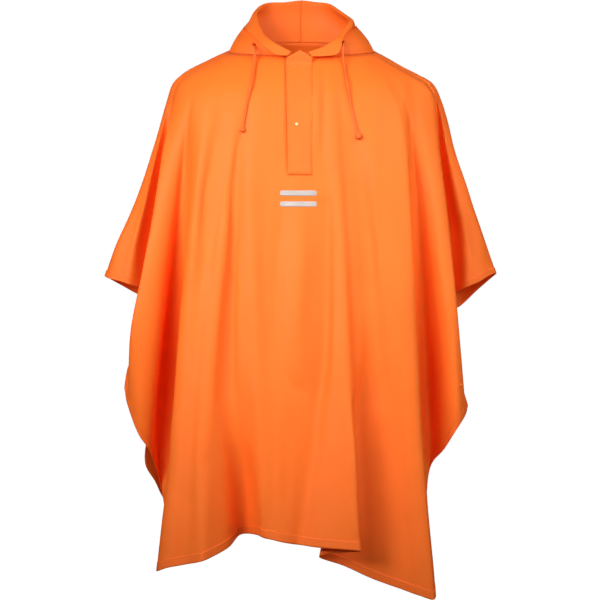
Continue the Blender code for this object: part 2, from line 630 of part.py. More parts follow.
band_rows = placket_rows()
total = {}
add_normals(band_rows, False, total, front_key)
band_normals = {key[1]: unit(value) for key, value in total.items()}
add_mesh("placket", *sheet_mesh(band_rows, band_normals, BAND, False), CLOTH_PLACKET)


# ---------------------------------------------------------------- snaps, eyelets, drawcords
def add_disc(name, centre, normal, radius, height, mat):
    """A low button with a rounded-off face, its back on `centre`."""
    steps = 20
    normal = unit(np.asarray(normal, float))
    first = unit(np.cross(normal, (0.0, 0.0, 1.0)))
    second = np.cross(normal, first)
    rings = ((radius, 0.0), (radius, height * 0.55), (radius * 0.72, height))
    verts = []
    for ring_radius, up in rings:
        for k in range(steps):
            angle = 2 * math.pi * k / steps
            around = first * math.cos(angle) + second * math.sin(angle)
            verts.append(centre + around * ring_radius + normal * up)
    faces = []
    for ring in range(len(rings) - 1):
        for k in range(steps):
            a = ring * steps + k
            b = ring * steps + (k + 1) % steps
            faces.append((a, b, b + steps, a + steps))
    faces.append(tuple(reversed(range(steps))))
    faces.append(tuple(range((len(rings) - 1) * steps, len(rings) * steps)))
    obj = add_mesh(name, verts, faces, mat)
    return obj


def surface_at(rows, normals, across, height):
    """The grid point of the front panel or a piece on it nearest to an elevation position."""
    best = None
    for r in range(len(rows) - 1):
        for c in range(len(rows[0]) - 1):
            if rows[r][c] is None or rows[r + 1][c + 1] is None or rows[r][c + 1] is None:
                continue
            if rows[r + 1][c] is None:
                continue
            for s in (0.0, 0.25, 0.5, 0.75):
                for t in (0.0, 0.25, 0.5, 0.75):
                    top = rows[r][c] * (1 - s) + rows[r][c + 1] * s
                    low = rows[r + 1][c] * (1 - s) + rows[r + 1][c + 1] * s
                    point = top * (1 - t) + low * t
                    seen = place(across, height, point[1] * 1000.0)
                    miss = np.linalg.norm(seen - point)
                    if best is None or miss < best[0]:
                        normal = normals[(r, c)] + normals[(r + 1, c + 1)]
                        best = (miss, point, unit(normal))
    return best[1], best[2]


SNAP_RADIUS = 0.0052
SNAP_HEIGHT = 0.0022
SNAP_GAP = 0.0009
SIDE_SNAP_GAP = 0.0019        # it lies on the turn of the side fold
for name, across, height, radius, mat in (
    ("snap_upper", 296.5, 66.5, SNAP_RADIUS, COVERED),
    ("snap_lower", 296.5, 124.0, SNAP_RADIUS * 0.8, BRASS),
):
    spot, facing = surface_at(band_rows, band_normals, across, height)
    add_disc(name, spot + facing * (BAND / 2 + SNAP_GAP), facing, radius, SNAP_HEIGHT, mat)

side_spot, side_facing = surface_at(front_rows, front_normals, 460.5, 385.0)
add_disc("snap_side", side_spot + side_facing * (CLOTH / 2 + SIDE_SNAP_GAP), side_facing, 0.0045, 0.0016, BRASS_SIDE)

CORD_RADIUS = 0.0019
CORD_STEP = 0.0095
EYELET_RADIUS = 0.0042
EYELET_WIRE = 0.0011
# hand-chosen points of the two hanging cord ends: across, height, depth
CORD_ROUTES = {
    "left": ((255.0, 49.5, -77), (255.0, 60, -79.5), (252.2, 80, -110), (248.0, 100, -130.5),
             (245.2, 115, -135), (243.3, 127.2, -138)),
    "right": ((343.2, 48, -79), (344.0, 62, -83), (347.6, 84, -113.5), (351.2, 105, -132),
              (355.0, 121, -137.5), (357.6, 131.0, -142)),
}
EYELETS = {"left": (255.0, 45.0), "right": (342.5, 42.8)}
# end knots: distance down from the cord's end and radius, mm
KNOTS = {
    "left": ((0.0, 2.4), (2.0, 4.2), (4.5, 5.5), (7.0, 5.6), (9.5, 4.4), (11.0, 2.2)),
    "right": ((0.0, 2.6), (3.0, 4.3), (7.0, 6.2), (11.0, 7.0), (14.5, 5.8), (16.5, 3.0)),
}


def add_turned(name, top, axis, profile, mat):
    """A solid turned about `axis`, from its flat top down."""
    steps = 14
    axis = unit(axis)
    first = unit(np.cross(axis, (0.0, 1.0, 0.0)))
    second = np.cross(axis, first)
    verts = []
    for down, radius in profile:
        for k in range(steps):
            angle = 2 * math.pi * k / steps
            around = first * math.cos(angle) + second * math.sin(angle)
            verts.append(top + axis * down / 1000.0 + around * radius / 1000.0)
    faces = []
    for ring in range(len(profile) - 1):
        for k in range(steps):
            a = ring * steps + k
            b = ring * steps + (k + 1) % steps
            faces.append((a, b, b + steps, a + steps))
    faces.append(tuple(reversed(range(steps))))
    faces.append(tuple(range((len(profile) - 1) * steps, len(profile) * steps)))
    return add_mesh(name, verts, faces, mat)


def add_ring(name, centre, normal, radius, wire, mat):
    """A round eyelet lying flat on the cloth."""
    around_steps = 18
    wire_steps = 8
    first = unit(np.cross(normal, (0.0, 0.0, 1.0)))
    second = np.cross(normal, first)
    verts = []
    for i in range(around_steps):
        angle = 2 * math.pi * i / around_steps
        out = first * math.cos(angle) + second * math.sin(angle)
        for j in range(wire_steps):
            turn = 2 * math.pi * j / wire_steps
            verts.append(centre + out * (radius + wire * math.cos(turn)) + normal * wire * math.sin(turn))
    faces = []
    for i in range(around_steps):
        for j in range(wire_steps):
            a = i * wire_steps + j
            b = i * wire_steps + (j + 1) % wire_steps
            c = ((i + 1) % around_steps) * wire_steps + (j + 1) % wire_steps
            d = ((i + 1) % around_steps) * wire_steps + j
            faces.append((a, d, c, b))
    return add_mesh(name, verts, faces, mat)


def evenly(points, step):
    """Points about `step` apart along a smooth curve through `points`."""
    dense = through_ring(points, [12] * (len(points) - 1), closed=False)
    lengths = [0.0]
    for a, b in zip(dense, dense[1:]):
        lengths.append(lengths[-1] + float(np.linalg.norm(b - a)))
    count = max(2, int(round(lengths[-1] / step)))
    out = []
    for k in range(count + 1):
        at = lengths[-1] * k / count
        i = min(max(int(np.searchsorted(lengths, at)) - 1, 0), len(dense) - 2)
        share = (at - lengths[i]) / (lengths[i + 1] - lengths[i])
        out.append(dense[i] + (dense[i + 1] - dense[i]) * share)
    return out


def add_cord(name, points, radius, mat):
    curve = bpy.data.curves.new(name, "CURVE")
    curve.dimensions = "3D"
    spline = curve.splines.new("POLY")
    spline.points.add(len(points) - 1)
    for k, point in enumerate(points):
        spline.points[k].co = (*point, 1.0)
    curve.bevel_depth = radius
    curve.bevel_resolution = 2
    curve.use_fill_caps = True
    obj = bpy.data.objects.new(name, curve)
    obj.data.materials.append(mat)
    poncho.objects.link(obj)
    return obj


hood_wall = [row for row in hood[:len(HOOD_WALL) + 1]]
for side, mat in (("left", CORD_LEFT), ("right", CORD_RIGHT)):
    spot, facing = surface_at(hood_wall, hood_normals, *EYELETS[side])
    add_ring("eyelet_" + side, spot + facing * (CLOTH / 2 + SNAP_GAP + EYELET_WIRE), facing,
             EYELET_RADIUS, EYELET_WIRE, EYELET_MATERIALS[side])
    start = spot + facing * (CLOTH / 2 + SNAP_GAP)
    route = [start, start + facing * 0.005, start + facing * 0.0105 + np.array((0.0, 0.0, -0.0035))]
    route += [place(*point) for point in CORD_ROUTES[side]]
    points = evenly(route, CORD_STEP)
    add_cord("drawcord_" + side, points, CORD_RADIUS, mat)
    hang = unit(points[-1] - points[-2])
    add_turned("cord_knot_" + side, points[-1] + hang * LAY_GAP, hang, KNOTS[side],
               KNOT_MATERIALS[side])
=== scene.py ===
"""Looks of the hooded rain poncho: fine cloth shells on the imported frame, sewing, prints, cords and light."""
import math

import bpy
import numpy as np
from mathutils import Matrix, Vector


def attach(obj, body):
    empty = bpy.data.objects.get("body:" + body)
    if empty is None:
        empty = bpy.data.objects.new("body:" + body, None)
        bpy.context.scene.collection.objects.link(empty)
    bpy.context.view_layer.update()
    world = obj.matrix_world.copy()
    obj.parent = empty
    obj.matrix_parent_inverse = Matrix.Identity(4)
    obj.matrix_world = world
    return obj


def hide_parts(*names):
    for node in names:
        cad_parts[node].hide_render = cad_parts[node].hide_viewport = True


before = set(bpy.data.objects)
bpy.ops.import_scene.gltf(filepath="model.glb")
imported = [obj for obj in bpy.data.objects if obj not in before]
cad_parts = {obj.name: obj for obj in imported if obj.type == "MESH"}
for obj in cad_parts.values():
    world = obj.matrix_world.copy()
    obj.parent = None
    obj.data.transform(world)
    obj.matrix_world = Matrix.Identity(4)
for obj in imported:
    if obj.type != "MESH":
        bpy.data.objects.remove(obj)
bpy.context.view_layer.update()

# ---- the part's own sizes
UNIT = 0.00195                # metres to one elevation unit
ORIGIN_ACROSS = 300.0         # where the frame's origin shows
ORIGIN_HEIGHT = 52.0
EYE_HEIGHT = 300.0
EYE_DISTANCE = 4.0            # metres
NECK_CENTRE = 301.0
NECK_SIDE = 52.0              # height of the neck edge at the shoulders
NECK_FRONT_DROP = 4.0         # how much lower it runs in front, and how much higher behind
NECK_BACK_RISE = 9.0
SHOULDER_DEPTH = 8.0          # mm; all depths are in mm, nearer ones below zero
NECK_GAP = 0.0007             # metres that the hood's seam stands above the neck edge
CHEST = 100.0
UNDERARM = 300.0
# from the neck edge to the chest: part of the way, half width left and right, reach front and back
YOKE = (
    (0.00, 72.0, 73.0, 86.0, 68.0),
    (0.12, 86.5, 85.0, 92.0, 74.0),
    (0.25, 100.0, 96.0, 100.0, 80.0),
    (0.42, 115.5, 111.5, 114.0, 90.0),
    (0.67, 128.5, 132.0, 128.0, 100.0),
    (1.00, 134.0, 140.0, 138.0, 108.0),
)
ACROSS_AT = (100.0, 150.0, 200.0, 250.0, 350.0, 450.0)
DEPTH_AT = (100.0, 200.0, 300.0, 400.0)

# one row per fold line of the front panel, from the left sleeve to the right sleeve:
# name, neck angle, across at ACROSS_AT, depth at DEPTH_AT, lower end (height, across, depth)
FRONT = (
    ("arm seam left", 0.0, (167, 153, 136.4, 114.8), (12, 5), (276, 105, 0)),
    ("sleeve left a", 3.0, (167.6, 153.5, 138, 116), (-4, -27), (278.5, 109, -28)),
    ("sleeve left b", 6.0, (168.5, 156, 143, 126), (-12, -38), (281, 119, -40)),
    ("sleeve left ridge", 9.0, (169.5, 157, 145.5, 134), (-17, -45), (284.5, 129, -47)),
    ("sleeve left wall", 12.0, (171, 163, 156, 148), (-21, -20), (291, 149, -16)),
    ("underarm left", 15.0, (173, 168, 166, 167), (-26, -4), (300, 165, 5)),
    ("flank left", 18.0, (173.8, 171, 168, 165, 136), (-38, -52, -48), (396, 126, -48)),
    ("side contour left", 21.0, (175, 163, 155.5, 146.5, 129.5), (-50, -98, -106, -72), (405, 128, -60)),
    ("side crest left", 24.5, (180, 172, 166, 156, 142), (-72, -106, -110, -90), (436, 139.4, -72)),
    ("side inner left", 28.0, (185, 179, 174, 167, 157), (-86, -101, -98, -78), (450.6, 149.5, -60)),
    ("side valley left", 31.5, (190, 185, 180, 176, 164.5, 158), (-96, -89, -45, 0), (493, 162.0, -2)),
    ("edge wall left", 35.0, (194, 190, 191, 192, 190, 187), (-103, -110, -84, -56), (556, 170, -66)),
    ("front edge left", 38.5, (199, 194, 190, 186, 177.5, 170), (-108, -127, -132, -132),
     (571.3, 156.6, -146)),
    ("front crest left", 42.0, (206, 201, 197, 193, 185.5, 178), (-113, -140, -148, -150), (568, 167, -162)),
    ("valley a", 46.5, (222, 213, 204, 203, 197, 190), (-117, -135, -149, -155), (564.5, 186, -163)),
    ("ridge b", 51.0, (236, 227, 221, 216, 208, 200), (-124, -146, -157, -165), (561.3, 202, -176)),
    ("wall b", 55.0, (243, 233, 226, 225, 221, 222), (-124, -143, -151, -153), (548.5, 226.5, -140)),
    ("valley b", 58.5, (249, 238, 231, 232, 231, 238), (-124, -137, -142, -144), (534.8, 240, -84)),
    ("shoulder b", 62.0, (255, 244, 240, 239, 237, 253), (-126, -142, -149, -151), (536.0, 258, -152)),
    ("ridge c", 66.5, (262, 252, 250, 249, 251, 264), (-128, -148, -155, -161), (538.6, 266, -164)),
    ("valley c", 72.0, (276, 271, 268, 267, 272, 274), (-129, -146, -151, -159), (540.2, 273.5, -167)),
    ("placket left", 77.6, (286.3, 287.3, 288.5, 290, 286, 281), (-130, -148, -156, -159), (542, 280, -168)),
    ("centre", 89.3, (300, 300, 303, 305, 300, 293), (-130, -149, -156, -155), (543.7, 289, -163)),
    ("placket right", 99.0, (312.8, 312.2, 313.2, 317, 315, 303), (-130, -146, -150, -152), (545, 298, -157)),
    ("flat e", 101.5, (319, 323, 327, 328, 325, 322), (-129, -146, -153, -158), (547.7, 318, -166)),
    ("ridge e", 104.5, (326, 332, 333.5, 334, 334, 342), (-129, -148, -158, -167), (549.7, 344, -178)),
    ("pleat edge", 107.5, (332, 340, 343, 345, 344, 354), (-127, -143, -155, -167), (551.5, 360.8, -176)),
    ("pleat back", 110.5, (336, 345, 348.5, 351, 353, 350), (-126, -141, -148, -150), (553, 336, -158)),
    ("pleat inner", 113.5, (340, 349, 353.5, 356, 361, 340), (-125, -140, -143, -136), (556.8, 319, -144)),
    ("pleat under", 116.5, (344, 353, 358, 361, 367, 352), (-124, -140, -140, -120), (566, 344, -114)),
    ("valley f", 120.0, (350, 358, 363, 367, 374, 376), (-123, -141, -142, -124), (578.6, 372, -104)),
    ("ridge g", 125.0, (362, 371, 377, 383, 392, 398), (-122, -145, -150, -138), (589, 401, -120)),
    ("front crest right", 131.0, (381, 391, 396, 400, 405, 411), (-114, -142, -151, -146),
     (595.5, 419, -138)),
    ("front edge right", 136.0, (396, 404, 409, 412.3, 416.7, 422.5), (-106, -131, -139, -138),
     (599.4, 434.5, -144)),
    ("edge wall right", 140.0, (401, 408.5, 411, 412, 415, 420), (-100, -110, -92, -76), (560, 427, -80)),
    ("side valley right", 144.0, (406, 412.5, 416.5, 419, 425, 431), (-93, -88, -62, -22), (468, 430, -26)),
    ("side inner right", 148.0, (411, 418, 426, 432, 442), (-86, -98, -92, -74), (448, 445, -66)),
    ("side crest right", 152.0, (420, 427, 435, 442, 454), (-72, -104, -108, -92), (424, 460, -82)),
    ("side contour right", 155.5, (433.5, 439.5, 446, 451.5, 460.8), (-50, -88, -100), (414, 465.3, -68)),
    ("flank right", 159.0, (434.2, 434, 436, 436, 450), (-38, -52, -48), (409, 466.5, -47)),
    ("underarm right", 162.0, (434.5, 436, 438, 438), (-25, -4), (300, 437, 5)),
    ("sleeve right wall", 165.0, (435.5, 440, 446, 452), (-18, -9), (295, 452, -12)),
    ("sleeve right ridge", 169.0, (437.2, 447, 457.5, 467), (-19, -43), (287.5, 466, -44)),
    ("sleeve right b", 173.0, (438.8, 451.5, 465, 477), (-13, -37), (282, 479, -38)),
    ("sleeve right a", 176.5, (440.2, 454, 469.5, 484), (-4, -28), (277, 487, -26)),
    ("arm seam right", 180.0, (441, 454.5, 471, 488), (12, 5), (273.5, 496, 0)),
)

# the same for the back panel, from the left sleeve to the right sleeve, without the two arm seams
BACK = (
    ("sleeve left a", 4.0, (168, 154.5, 139.5, 119), (22, 24), (280.0, 112, 22)),
    ("sleeve left b", 9.0, (169, 158, 147, 130), (34, 46), (286.6, 124, 46)),
    ("sleeve left ridge", 14.0, (171, 164, 158, 147), (44, 60), (295, 139.4, 59)),
    ("sleeve left wall", 18.0, (173, 168, 165, 158), (49, 48), (299, 154, 34)),
    ("underarm left", 22.0, (175, 171, 172, 171), (55, 34), (300, 165, 5)),
    ("flank left", 26.0, (176.5, 172, 170, 168, 150), (64, 68, 60), (398, 131, 20)),
    ("side contour left", 31.0, (179, 168, 161, 157, 146), (76, 98, 96), (420, 147, 50)),
    ("side crest left", 37.0, (185, 178, 172, 168, 160, 150.5), (90, 118, 118, 90), (463.2, 145.3, 62)),
    ("side fall left", 40.2, (190, 184, 179.5, 176, 170, 161), (95, 114, 110, 95), (481.5, 155.2, 86)),
    ("side valley left", 43.5, (195, 190, 187, 184, 180, 170), (100, 110, 102, 100), (499, 164, 112)),
    ("edge left", 50.0, (204, 198, 194, 192, 190, 184), (106, 124, 126, 124), (516, 181, 120)),
    ("ridge 1", 57.0, (215, 210, 208, 207, 205, 204), (110, 132, 142, 148), (526, 204, 150)),
    ("valley 1", 66.0, (236, 233, 232, 232, 231, 230), (113, 128, 131, 132), (530, 230, 130)),
    ("ridge 2", 77.0, (264, 262, 261, 260, 259, 258), (116, 136, 146, 152), (532, 257, 156)),
    ("centre", 89.3, (299, 298, 297, 296, 295, 295), (116, 130, 136, 139), (532, 294, 139)),
    ("ridge 3", 103.0, (334, 337, 336, 335, 333, 333), (116, 136, 147, 153), (532, 332, 157)),
    ("valley 2", 114.0, (362, 368, 368, 367, 366, 366), (113, 126, 131, 132), (527, 366, 132)),
    ("ridge 4", 123.0, (386, 394, 396, 397, 398, 398), (110, 131, 142, 148), (508, 398, 148)),
    ("edge right", 130.0, (398, 406, 407, 408, 410, 411), (105, 124, 126, 122), (492, 411, 118)),
    ("side valley right", 136.5, (408, 414, 415, 416, 419, 421), (98, 110, 98, 88), (478, 421, 82)),
    ("side crest right", 143.0, (420, 426, 430, 434, 441), (88, 118, 121, 100), (440, 446, 90)),
    ("side contour right", 149.0, (430, 435, 438, 442, 453), (74, 98, 98), (421, 457, 52)),
    ("flank right", 154.0, (432, 433, 434, 436, 452), (63, 68, 58), (411, 464, 15)),
    ("underarm right", 158.0, (433.5, 433.5, 432, 433), (55, 34), (300, 437, 5)),
    ("sleeve right wall", 162.0, (435, 438, 441, 444), (49, 48), (306, 448, 34)),
    ("sleeve right ridge", 166.0, (437, 444, 450, 455), (44, 60), (308, 457, 59)),
    ("sleeve right b", 171.0, (439, 451, 463, 473), (34, 46), (292, 475, 46)),
    ("sleeve right a", 176.0, (440.3, 454, 469.5, 485), (22, 24), (279.5, 489, 22)),
)
# the side closures below the underarm points: stations (height, across, depth) down to the hem
CLOSURE_LEFT = ((300, 165, 5), (350, 141, -10), (369, 128.0, -28), (387, 125.1, -38))
CLOSURE_RIGHT = ((300, 437, 5), (350, 450, -8), (405, 467, -36))
UNDER_LEFT = 5            # where the underarm lines stand in FRONT
UNDER_RIGHT = 40
BACK_UNDER_LEFT = 4       # and in BACK
BACK_UNDER_RIGHT = 22

# one row per line of the hood, from the left front end round the back to the right front end:
# neck angle, side (-1 front, 1 back), crest (across, height, depth), free edge, drop of the pouch mm
HOOD = (
    (83.5, -1, (292, 52.4, -82), (287.8, 55.6, -90), 0),
    (74.0, -1, (282.5, 47.5, -82), (275.5, 54.2, -92), 0),
    (61.0, -1, (270, 40.2, -76), (262.8, 44.6, -90), 0),
    (48.0, -1, (263.5, 35, -60), (254.5, 37.0, -77), 0),
    (31.0, -1, (258.5, 26.5, -36), (247.5, 31.0, -53), 0),
    (12.0, -1, (256.2, 19.5, -8), (243.6, 27.2, -22), 4),
    (8.0, 1, (255.2, 14.2, 16), (244.0, 27.5, 20), 16),
    (27.0, 1, (258.2, 9.2, 47), (252, 25, 80), 44),
    (44.0, 1, (261.5, 6, 60), (258, 25, 118), 84),
    (60.0, 1, (268.3, 3.4, 76), (269, 26, 144), 126),
    (76.0, 1, (284, 3.0, 86), (286, 26, 157), 158),
    (90.0, 1, (301.5, 1.2, 88), (301.5, 26, 161), 164),
    (103.0, 1, (316, 2.8, 86), (317, 26, 157), 158),
    (118.0, 1, (328.6, 4.2, 72), (333, 27, 144), 126),
    (136.0, 1, (337, 9.6, 52), (343, 28, 118), 84),
    (153.0, 1, (343.5, 14.2, 33), (350, 29, 80), 44),
    (172.0, 1, (349, 18.2, 12), (356.6, 28, 18), 16),
    (168.0, -1, (350.8, 20.6, -8), (356.4, 26, -16), 5),
    (149.0, -1, (347.5, 26.2, -36), (351.0, 28.6, -50), 0),
    (132.0, -1, (340, 35.4, -59), (343.6, 37.0, -74), 0),
    (119.0, -1, (331.5, 42.0, -74), (338.0, 53.4, -87), 0),
    (106.0, -1, (320.5, 48.3, -82), (324.5, 56.0, -91), 0),
    (95.5, -1, (308, 52.2, -82), (312, 56.4, -90), 0),
)
HOOD_CENTRE = 11                              # the line at the middle of the back
HOOD_WALL = (0.0, 0.35, 0.7)                  # rows between the neck seam and the crest
HOOD_BULGE = 0.007                            # how far the wall stands out between them
HOOD_CREST_WIDTH = 0.008
HOOD_FALL = ((0.3, 0.04), (0.53, 0.38), (0.67, 0.82), (0.77, 1.0), (0.88, 0.88), (0.97, 0.42), (1.0, 0.0))

# ---- how fine the shells are
COLUMN_CUTS = 6              # to one interval between fold lines
UPPER_COUNT = 88             # rows from the neck to the underarm
LOWER_COUNT = 84             # and from there to the hem
SHELL = 0.0006               # wall of the shells, of the turned edges, of the placket and of the prints
STRIP_WALL = 0.0004
PLACKET_WALL = 0.0003
PRINT_WALL = 0.00016


# ---- placing
def place(across, height, depth_mm):
    """Elevation position and depth to scene coordinates in metres."""
    depth = np.asarray(depth_mm, float) / 1000.0
    nearer = (EYE_DISTANCE + depth) / EYE_DISTANCE
    x = (np.asarray(across, float) - ORIGIN_ACROSS) * UNIT * nearer
    z = (EYE_HEIGHT - np.asarray(height, float)) * UNIT * nearer - (EYE_HEIGHT - ORIGIN_HEIGHT) * UNIT
    return np.stack(np.broadcast_arrays(x, depth, z), -1)


def seen_at(points):
    """Elevation across and height of scene points."""
    nearer = (EYE_DISTANCE + points[..., 1]) / EYE_DISTANCE
    across = points[..., 0] / (UNIT * nearer) + ORIGIN_ACROSS
    height = EYE_HEIGHT - (points[..., 2] + (EYE_HEIGHT - ORIGIN_HEIGHT) * UNIT) / (UNIT * nearer)
    return across, height


def cubic(t):
    """Weights of the start, its slope, the end and its slope on a cubic, at part `t` of the way."""
    return 2 * t**3 - 3 * t**2 + 1, t**3 - 2 * t**2 + t, -2 * t**3 + 3 * t**2, t**3 - t**2


def smooth_through(stations, values, at):
    """A curve through the values that never swings past them."""
    s, v, at = (np.asarray(x, float) for x in (stations, values, at))
    step = np.diff(s)
    rise = np.diff(v) / step
    slope = np.zeros(len(s))
    slope[0] = rise[0]
    slope[-1] = rise[-1]
    for i in range(1, len(s) - 1):
        if rise[i - 1] * rise[i] > 0:
            near = 2 * step[i] + step[i - 1]
            far = step[i] + 2 * step[i - 1]
            slope[i] = (near + far) / (near / rise[i - 1] + far / rise[i])
    i = np.clip(np.searchsorted(s, at) - 1, 0, len(s) - 2)
    start, leave, end, reach = cubic(np.clip((at - s[i]) / step[i], 0.0, 1.0))
    return start * v[i] + leave * step[i] * slope[i] + end * v[i + 1] + reach * step[i] * slope[i + 1]


END_CLEAR = 6.0              # a station has to stand this far above the end of its fold line


def route_of(fold, side):
    """The heights of a fold line's ends, and its stations from the neck edge down: (height, across)
    and (height, depth)."""
    _, degrees, across_row, depth_row, end = fold
    end_height, end_across, end_depth = end
    neck_angle = math.radians(degrees)
    drop = NECK_FRONT_DROP if side < 0 else -NECK_BACK_RISE
    neck_height = NECK_SIDE + drop * math.sin(neck_angle)
    reach_column = 3 if side < 0 else 4
    half_chest = YOKE[-1][1] if across_row[0] < NECK_CENTRE else YOKE[-1][2]
    chest_cos = (NECK_CENTRE - across_row[0]) / half_chest
    chest_angle = math.acos(min(1.0, max(-1.0, chest_cos)))
    half_neck = YOKE[0][1] if degrees < 90 else YOKE[0][2]
    neck_offset = half_neck * math.cos(neck_angle)
    chest_offset = half_chest * math.cos(chest_angle)
    fit = side * (depth_row[0] - SHOULDER_DEPTH) - YOKE[-1][reach_column] * math.sin(chest_angle)
    across_stations, depth_stations = [], []
    for part, left, right, front_reach, back_reach in YOKE[:-1]:
        angle = neck_angle + (chest_angle - neck_angle) * part
        half = left if math.cos(angle) > 0 else right
        reach = front_reach if side < 0 else back_reach
        turned = half * math.cos(angle)
        straight = neck_offset + (chest_offset - neck_offset) * part
        offset = turned + (straight - turned) * math.sin(angle) ** 6
        angle = math.acos(offset / half)
        height = neck_height + (CHEST - neck_height) * part
        across_stations.append((height, NECK_CENTRE - offset))
        depth_stations.append((height, SHOULDER_DEPTH + side * (reach * math.sin(angle) + fit * part)))
    for stations, heights, values in ((across_stations, ACROSS_AT, across_row),
                                      (depth_stations, DEPTH_AT, depth_row)):
        stations += [station for station in zip(heights, values) if station[0] < end_height - END_CLEAR]
    across_stations.append((end_height, end_across))
    depth_stations.append((end_height, end_depth))
    return neck_height, end_height, across_stations, depth_stations


def station_curve(stations, heights):
    at, acrosses, depths = zip(*stations)
    return place(smooth_through(at, acrosses, heights), heights, smooth_through(at, depths, heights))


UPPER_PARTS = np.linspace(0.0, 1.0, UPPER_COUNT + 1)
LOWER_PARTS = np.linspace(0.0, 1.0, LOWER_COUNT + 1)[1:]
LAST_UPPER = UPPER_COUNT


def fold_points(fold, side, below):
    """The points of a fold line on every row; `below` says whether it goes on below the underarm row."""
    neck_height, end_height, across_stations, depth_stations = route_of(fold, side)
    middle = UNDERARM if below else end_height
    heights = neck_height + (middle - neck_height) * UPPER_PARTS
    if below:
        heights = np.concatenate((heights, middle + (end_height - middle) * LOWER_PARTS))
    across = smooth_through(*zip(*across_stations), heights)
    depth = smooth_through(*zip(*depth_stations), heights)
    return place(across, heights, depth)


def through_ring(pts, cuts, closed=True):
    """Rows of points (row, fold, xyz) to rows of finer points on smooth curves through them."""
    n = pts.shape[1]
    count = n if closed else n - 1

    def at(i):
        if closed:
            return pts[:, i % n]
        return pts[:, min(max(i, 0), n - 1)]

    def root(a, b):
        return np.maximum(np.linalg.norm(a - b, axis=-1, keepdims=True), 1e-5) ** 0.5

    out = []
    for i in range(count):
        p0, p1, p2, p3 = at(i - 1), at(i), at(i + 1), at(i + 2)
        d01, d12, d23 = root(p1, p0), root(p2, p1), root(p3, p2)
        m1 = m2 = p2 - p1
        if closed or i > 0:
            m1 = (p2 - p1) + d12 * ((p1 - p0) / d01 - (p2 - p0) / (d01 + d12))
        if closed or i < count - 1:
            m2 = (p2 - p1) + d12 * ((p3 - p2) / d23 - (p3 - p1) / (d12 + d23))
        for k in range(cuts):
            start, leave, end, reach = cubic(k / cuts)
            out.append(start * p1 + leave * m1 + end * p2 + reach * m2)
    if not closed:
        out.append(pts[:, -1])
    return np.stack(out, axis=1)


def panel_grids():
    """Points of the front and the back panel (row, column, xyz), NaN where a sleeve has ended, and
    the columns of the underarm lines: front left and right, back left and right."""
    k = COLUMN_CUTS
    front = [fold_points(fold, -1, UNDER_LEFT < i < UNDER_RIGHT) for i, fold in enumerate(FRONT)]
    back = [fold_points(fold, 1, BACK_UNDER_LEFT < i < BACK_UNDER_RIGHT) for i, fold in enumerate(BACK)]
    for index, stations in ((UNDER_LEFT, CLOSURE_LEFT), (UNDER_RIGHT, CLOSURE_RIGHT)):
        first, last = stations[0][0], stations[-1][0]
        closure = station_curve(stations, first + (last - first) * LOWER_PARTS)
        front[index] = np.concatenate((front[index], closure))
    back[BACK_UNDER_LEFT][LAST_UPPER] = front[UNDER_LEFT][LAST_UPPER]
    back[BACK_UNDER_RIGHT][LAST_UPPER] = front[UNDER_RIGHT][LAST_UPPER]
    rows = UPPER_COUNT + 1 + LOWER_COUNT
    front_grid = np.full((rows, (len(FRONT) - 1) * k + 1, 3), np.nan)
    back_grid = np.full((rows, (len(BACK) + 1) * k + 1, 3), np.nan)
    front_left, back_left = UNDER_LEFT * k, (BACK_UNDER_LEFT + 1) * k
    # a ring of lines round the whole poncho above the underarm, and round its body below
    for part, fronts, backs, at, back_at in (
            (slice(0, LAST_UPPER + 1), front, back, 0, 0),
            (slice(LAST_UPPER + 1, None), front[UNDER_LEFT:UNDER_RIGHT + 1],
             back[BACK_UNDER_LEFT + 1:BACK_UNDER_RIGHT], front_left, back_left)):
        fine = through_ring(np.stack([line[part] for line in fronts + backs[::-1]], 1), k)
        width = (len(fronts) - 1) * k + 1
        behind = np.concatenate((fine[:, width - 1:], fine[:, :1]), 1)[:, ::-1]
        front_grid[part, at:at + width] = fine[:, :width]
        back_grid[part, back_at:back_at + behind.shape[1]] = behind
    return front_grid, back_grid, front_left, UNDER_RIGHT * k, back_left, (BACK_UNDER_RIGHT + 1) * k


NEAR, FAR = slice(None, -1), slice(1, None)
CORNERS = ((NEAR, NEAR), (NEAR, FAR), (FAR, FAR), (FAR, NEAR))     # of every cell of a grid, going round


def grid_normals(grid, flipped):
    """Sums of the cell normals at the points of a grid, zero where there is no cloth. The back's grid
    runs the same way as the front's, so its normals are flipped."""
    a, b, c, d = (grid[corner] for corner in CORNERS)
    normal = np.cross(c - a, d - b)
    normal = np.nan_to_num(normal if flipped else -normal)
    total = np.zeros_like(grid)
    for corner in CORNERS:
        total[corner] += normal
    return total


def unit(vectors):
    length = np.linalg.norm(vectors, axis=-1, keepdims=True)
    return vectors / np.maximum(length, 1e-12)


def mesh_object(name, verts, faces, mat, smooth=True):
    """A new object of one material, linked into the scene."""
    mesh = bpy.data.meshes.new(name)
    mesh.from_pydata([tuple(v) for v in verts], [], [tuple(f) for f in faces])
    if smooth:
        mesh.shade_smooth()
    mesh.materials.append(mat)
    mesh.update()
    obj = bpy.data.objects.new(name, mesh)
    bpy.context.scene.collection.objects.link(obj)
    return obj


def worn(name, verts, faces, mat):
    """A piece of the poncho: it rides the one body."""
    obj = mesh_object(name, verts, faces, mat)
    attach(obj, "root")
    return obj


def stands_for(obj, node):
    """Hides the node of the frame that the object stands in for."""
    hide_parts(node)


def cloth_uv(grid):
    """Distances across and down the cloth, in metres."""
    across = np.nan_to_num(np.linalg.norm(np.diff(grid, axis=1), axis=-1))
    down = np.nan_to_num(np.linalg.norm(np.diff(grid, axis=0), axis=-1))
    u = np.concatenate((np.zeros((grid.shape[0], 1)), np.cumsum(across, 1)), 1)
    middle = grid.shape[1] // 2
    u = u - u[:, middle:middle + 1]
    v = np.concatenate((np.zeros((1, grid.shape[1])), np.cumsum(down, 0)), 0)
    return np.stack((u, -v), -1)


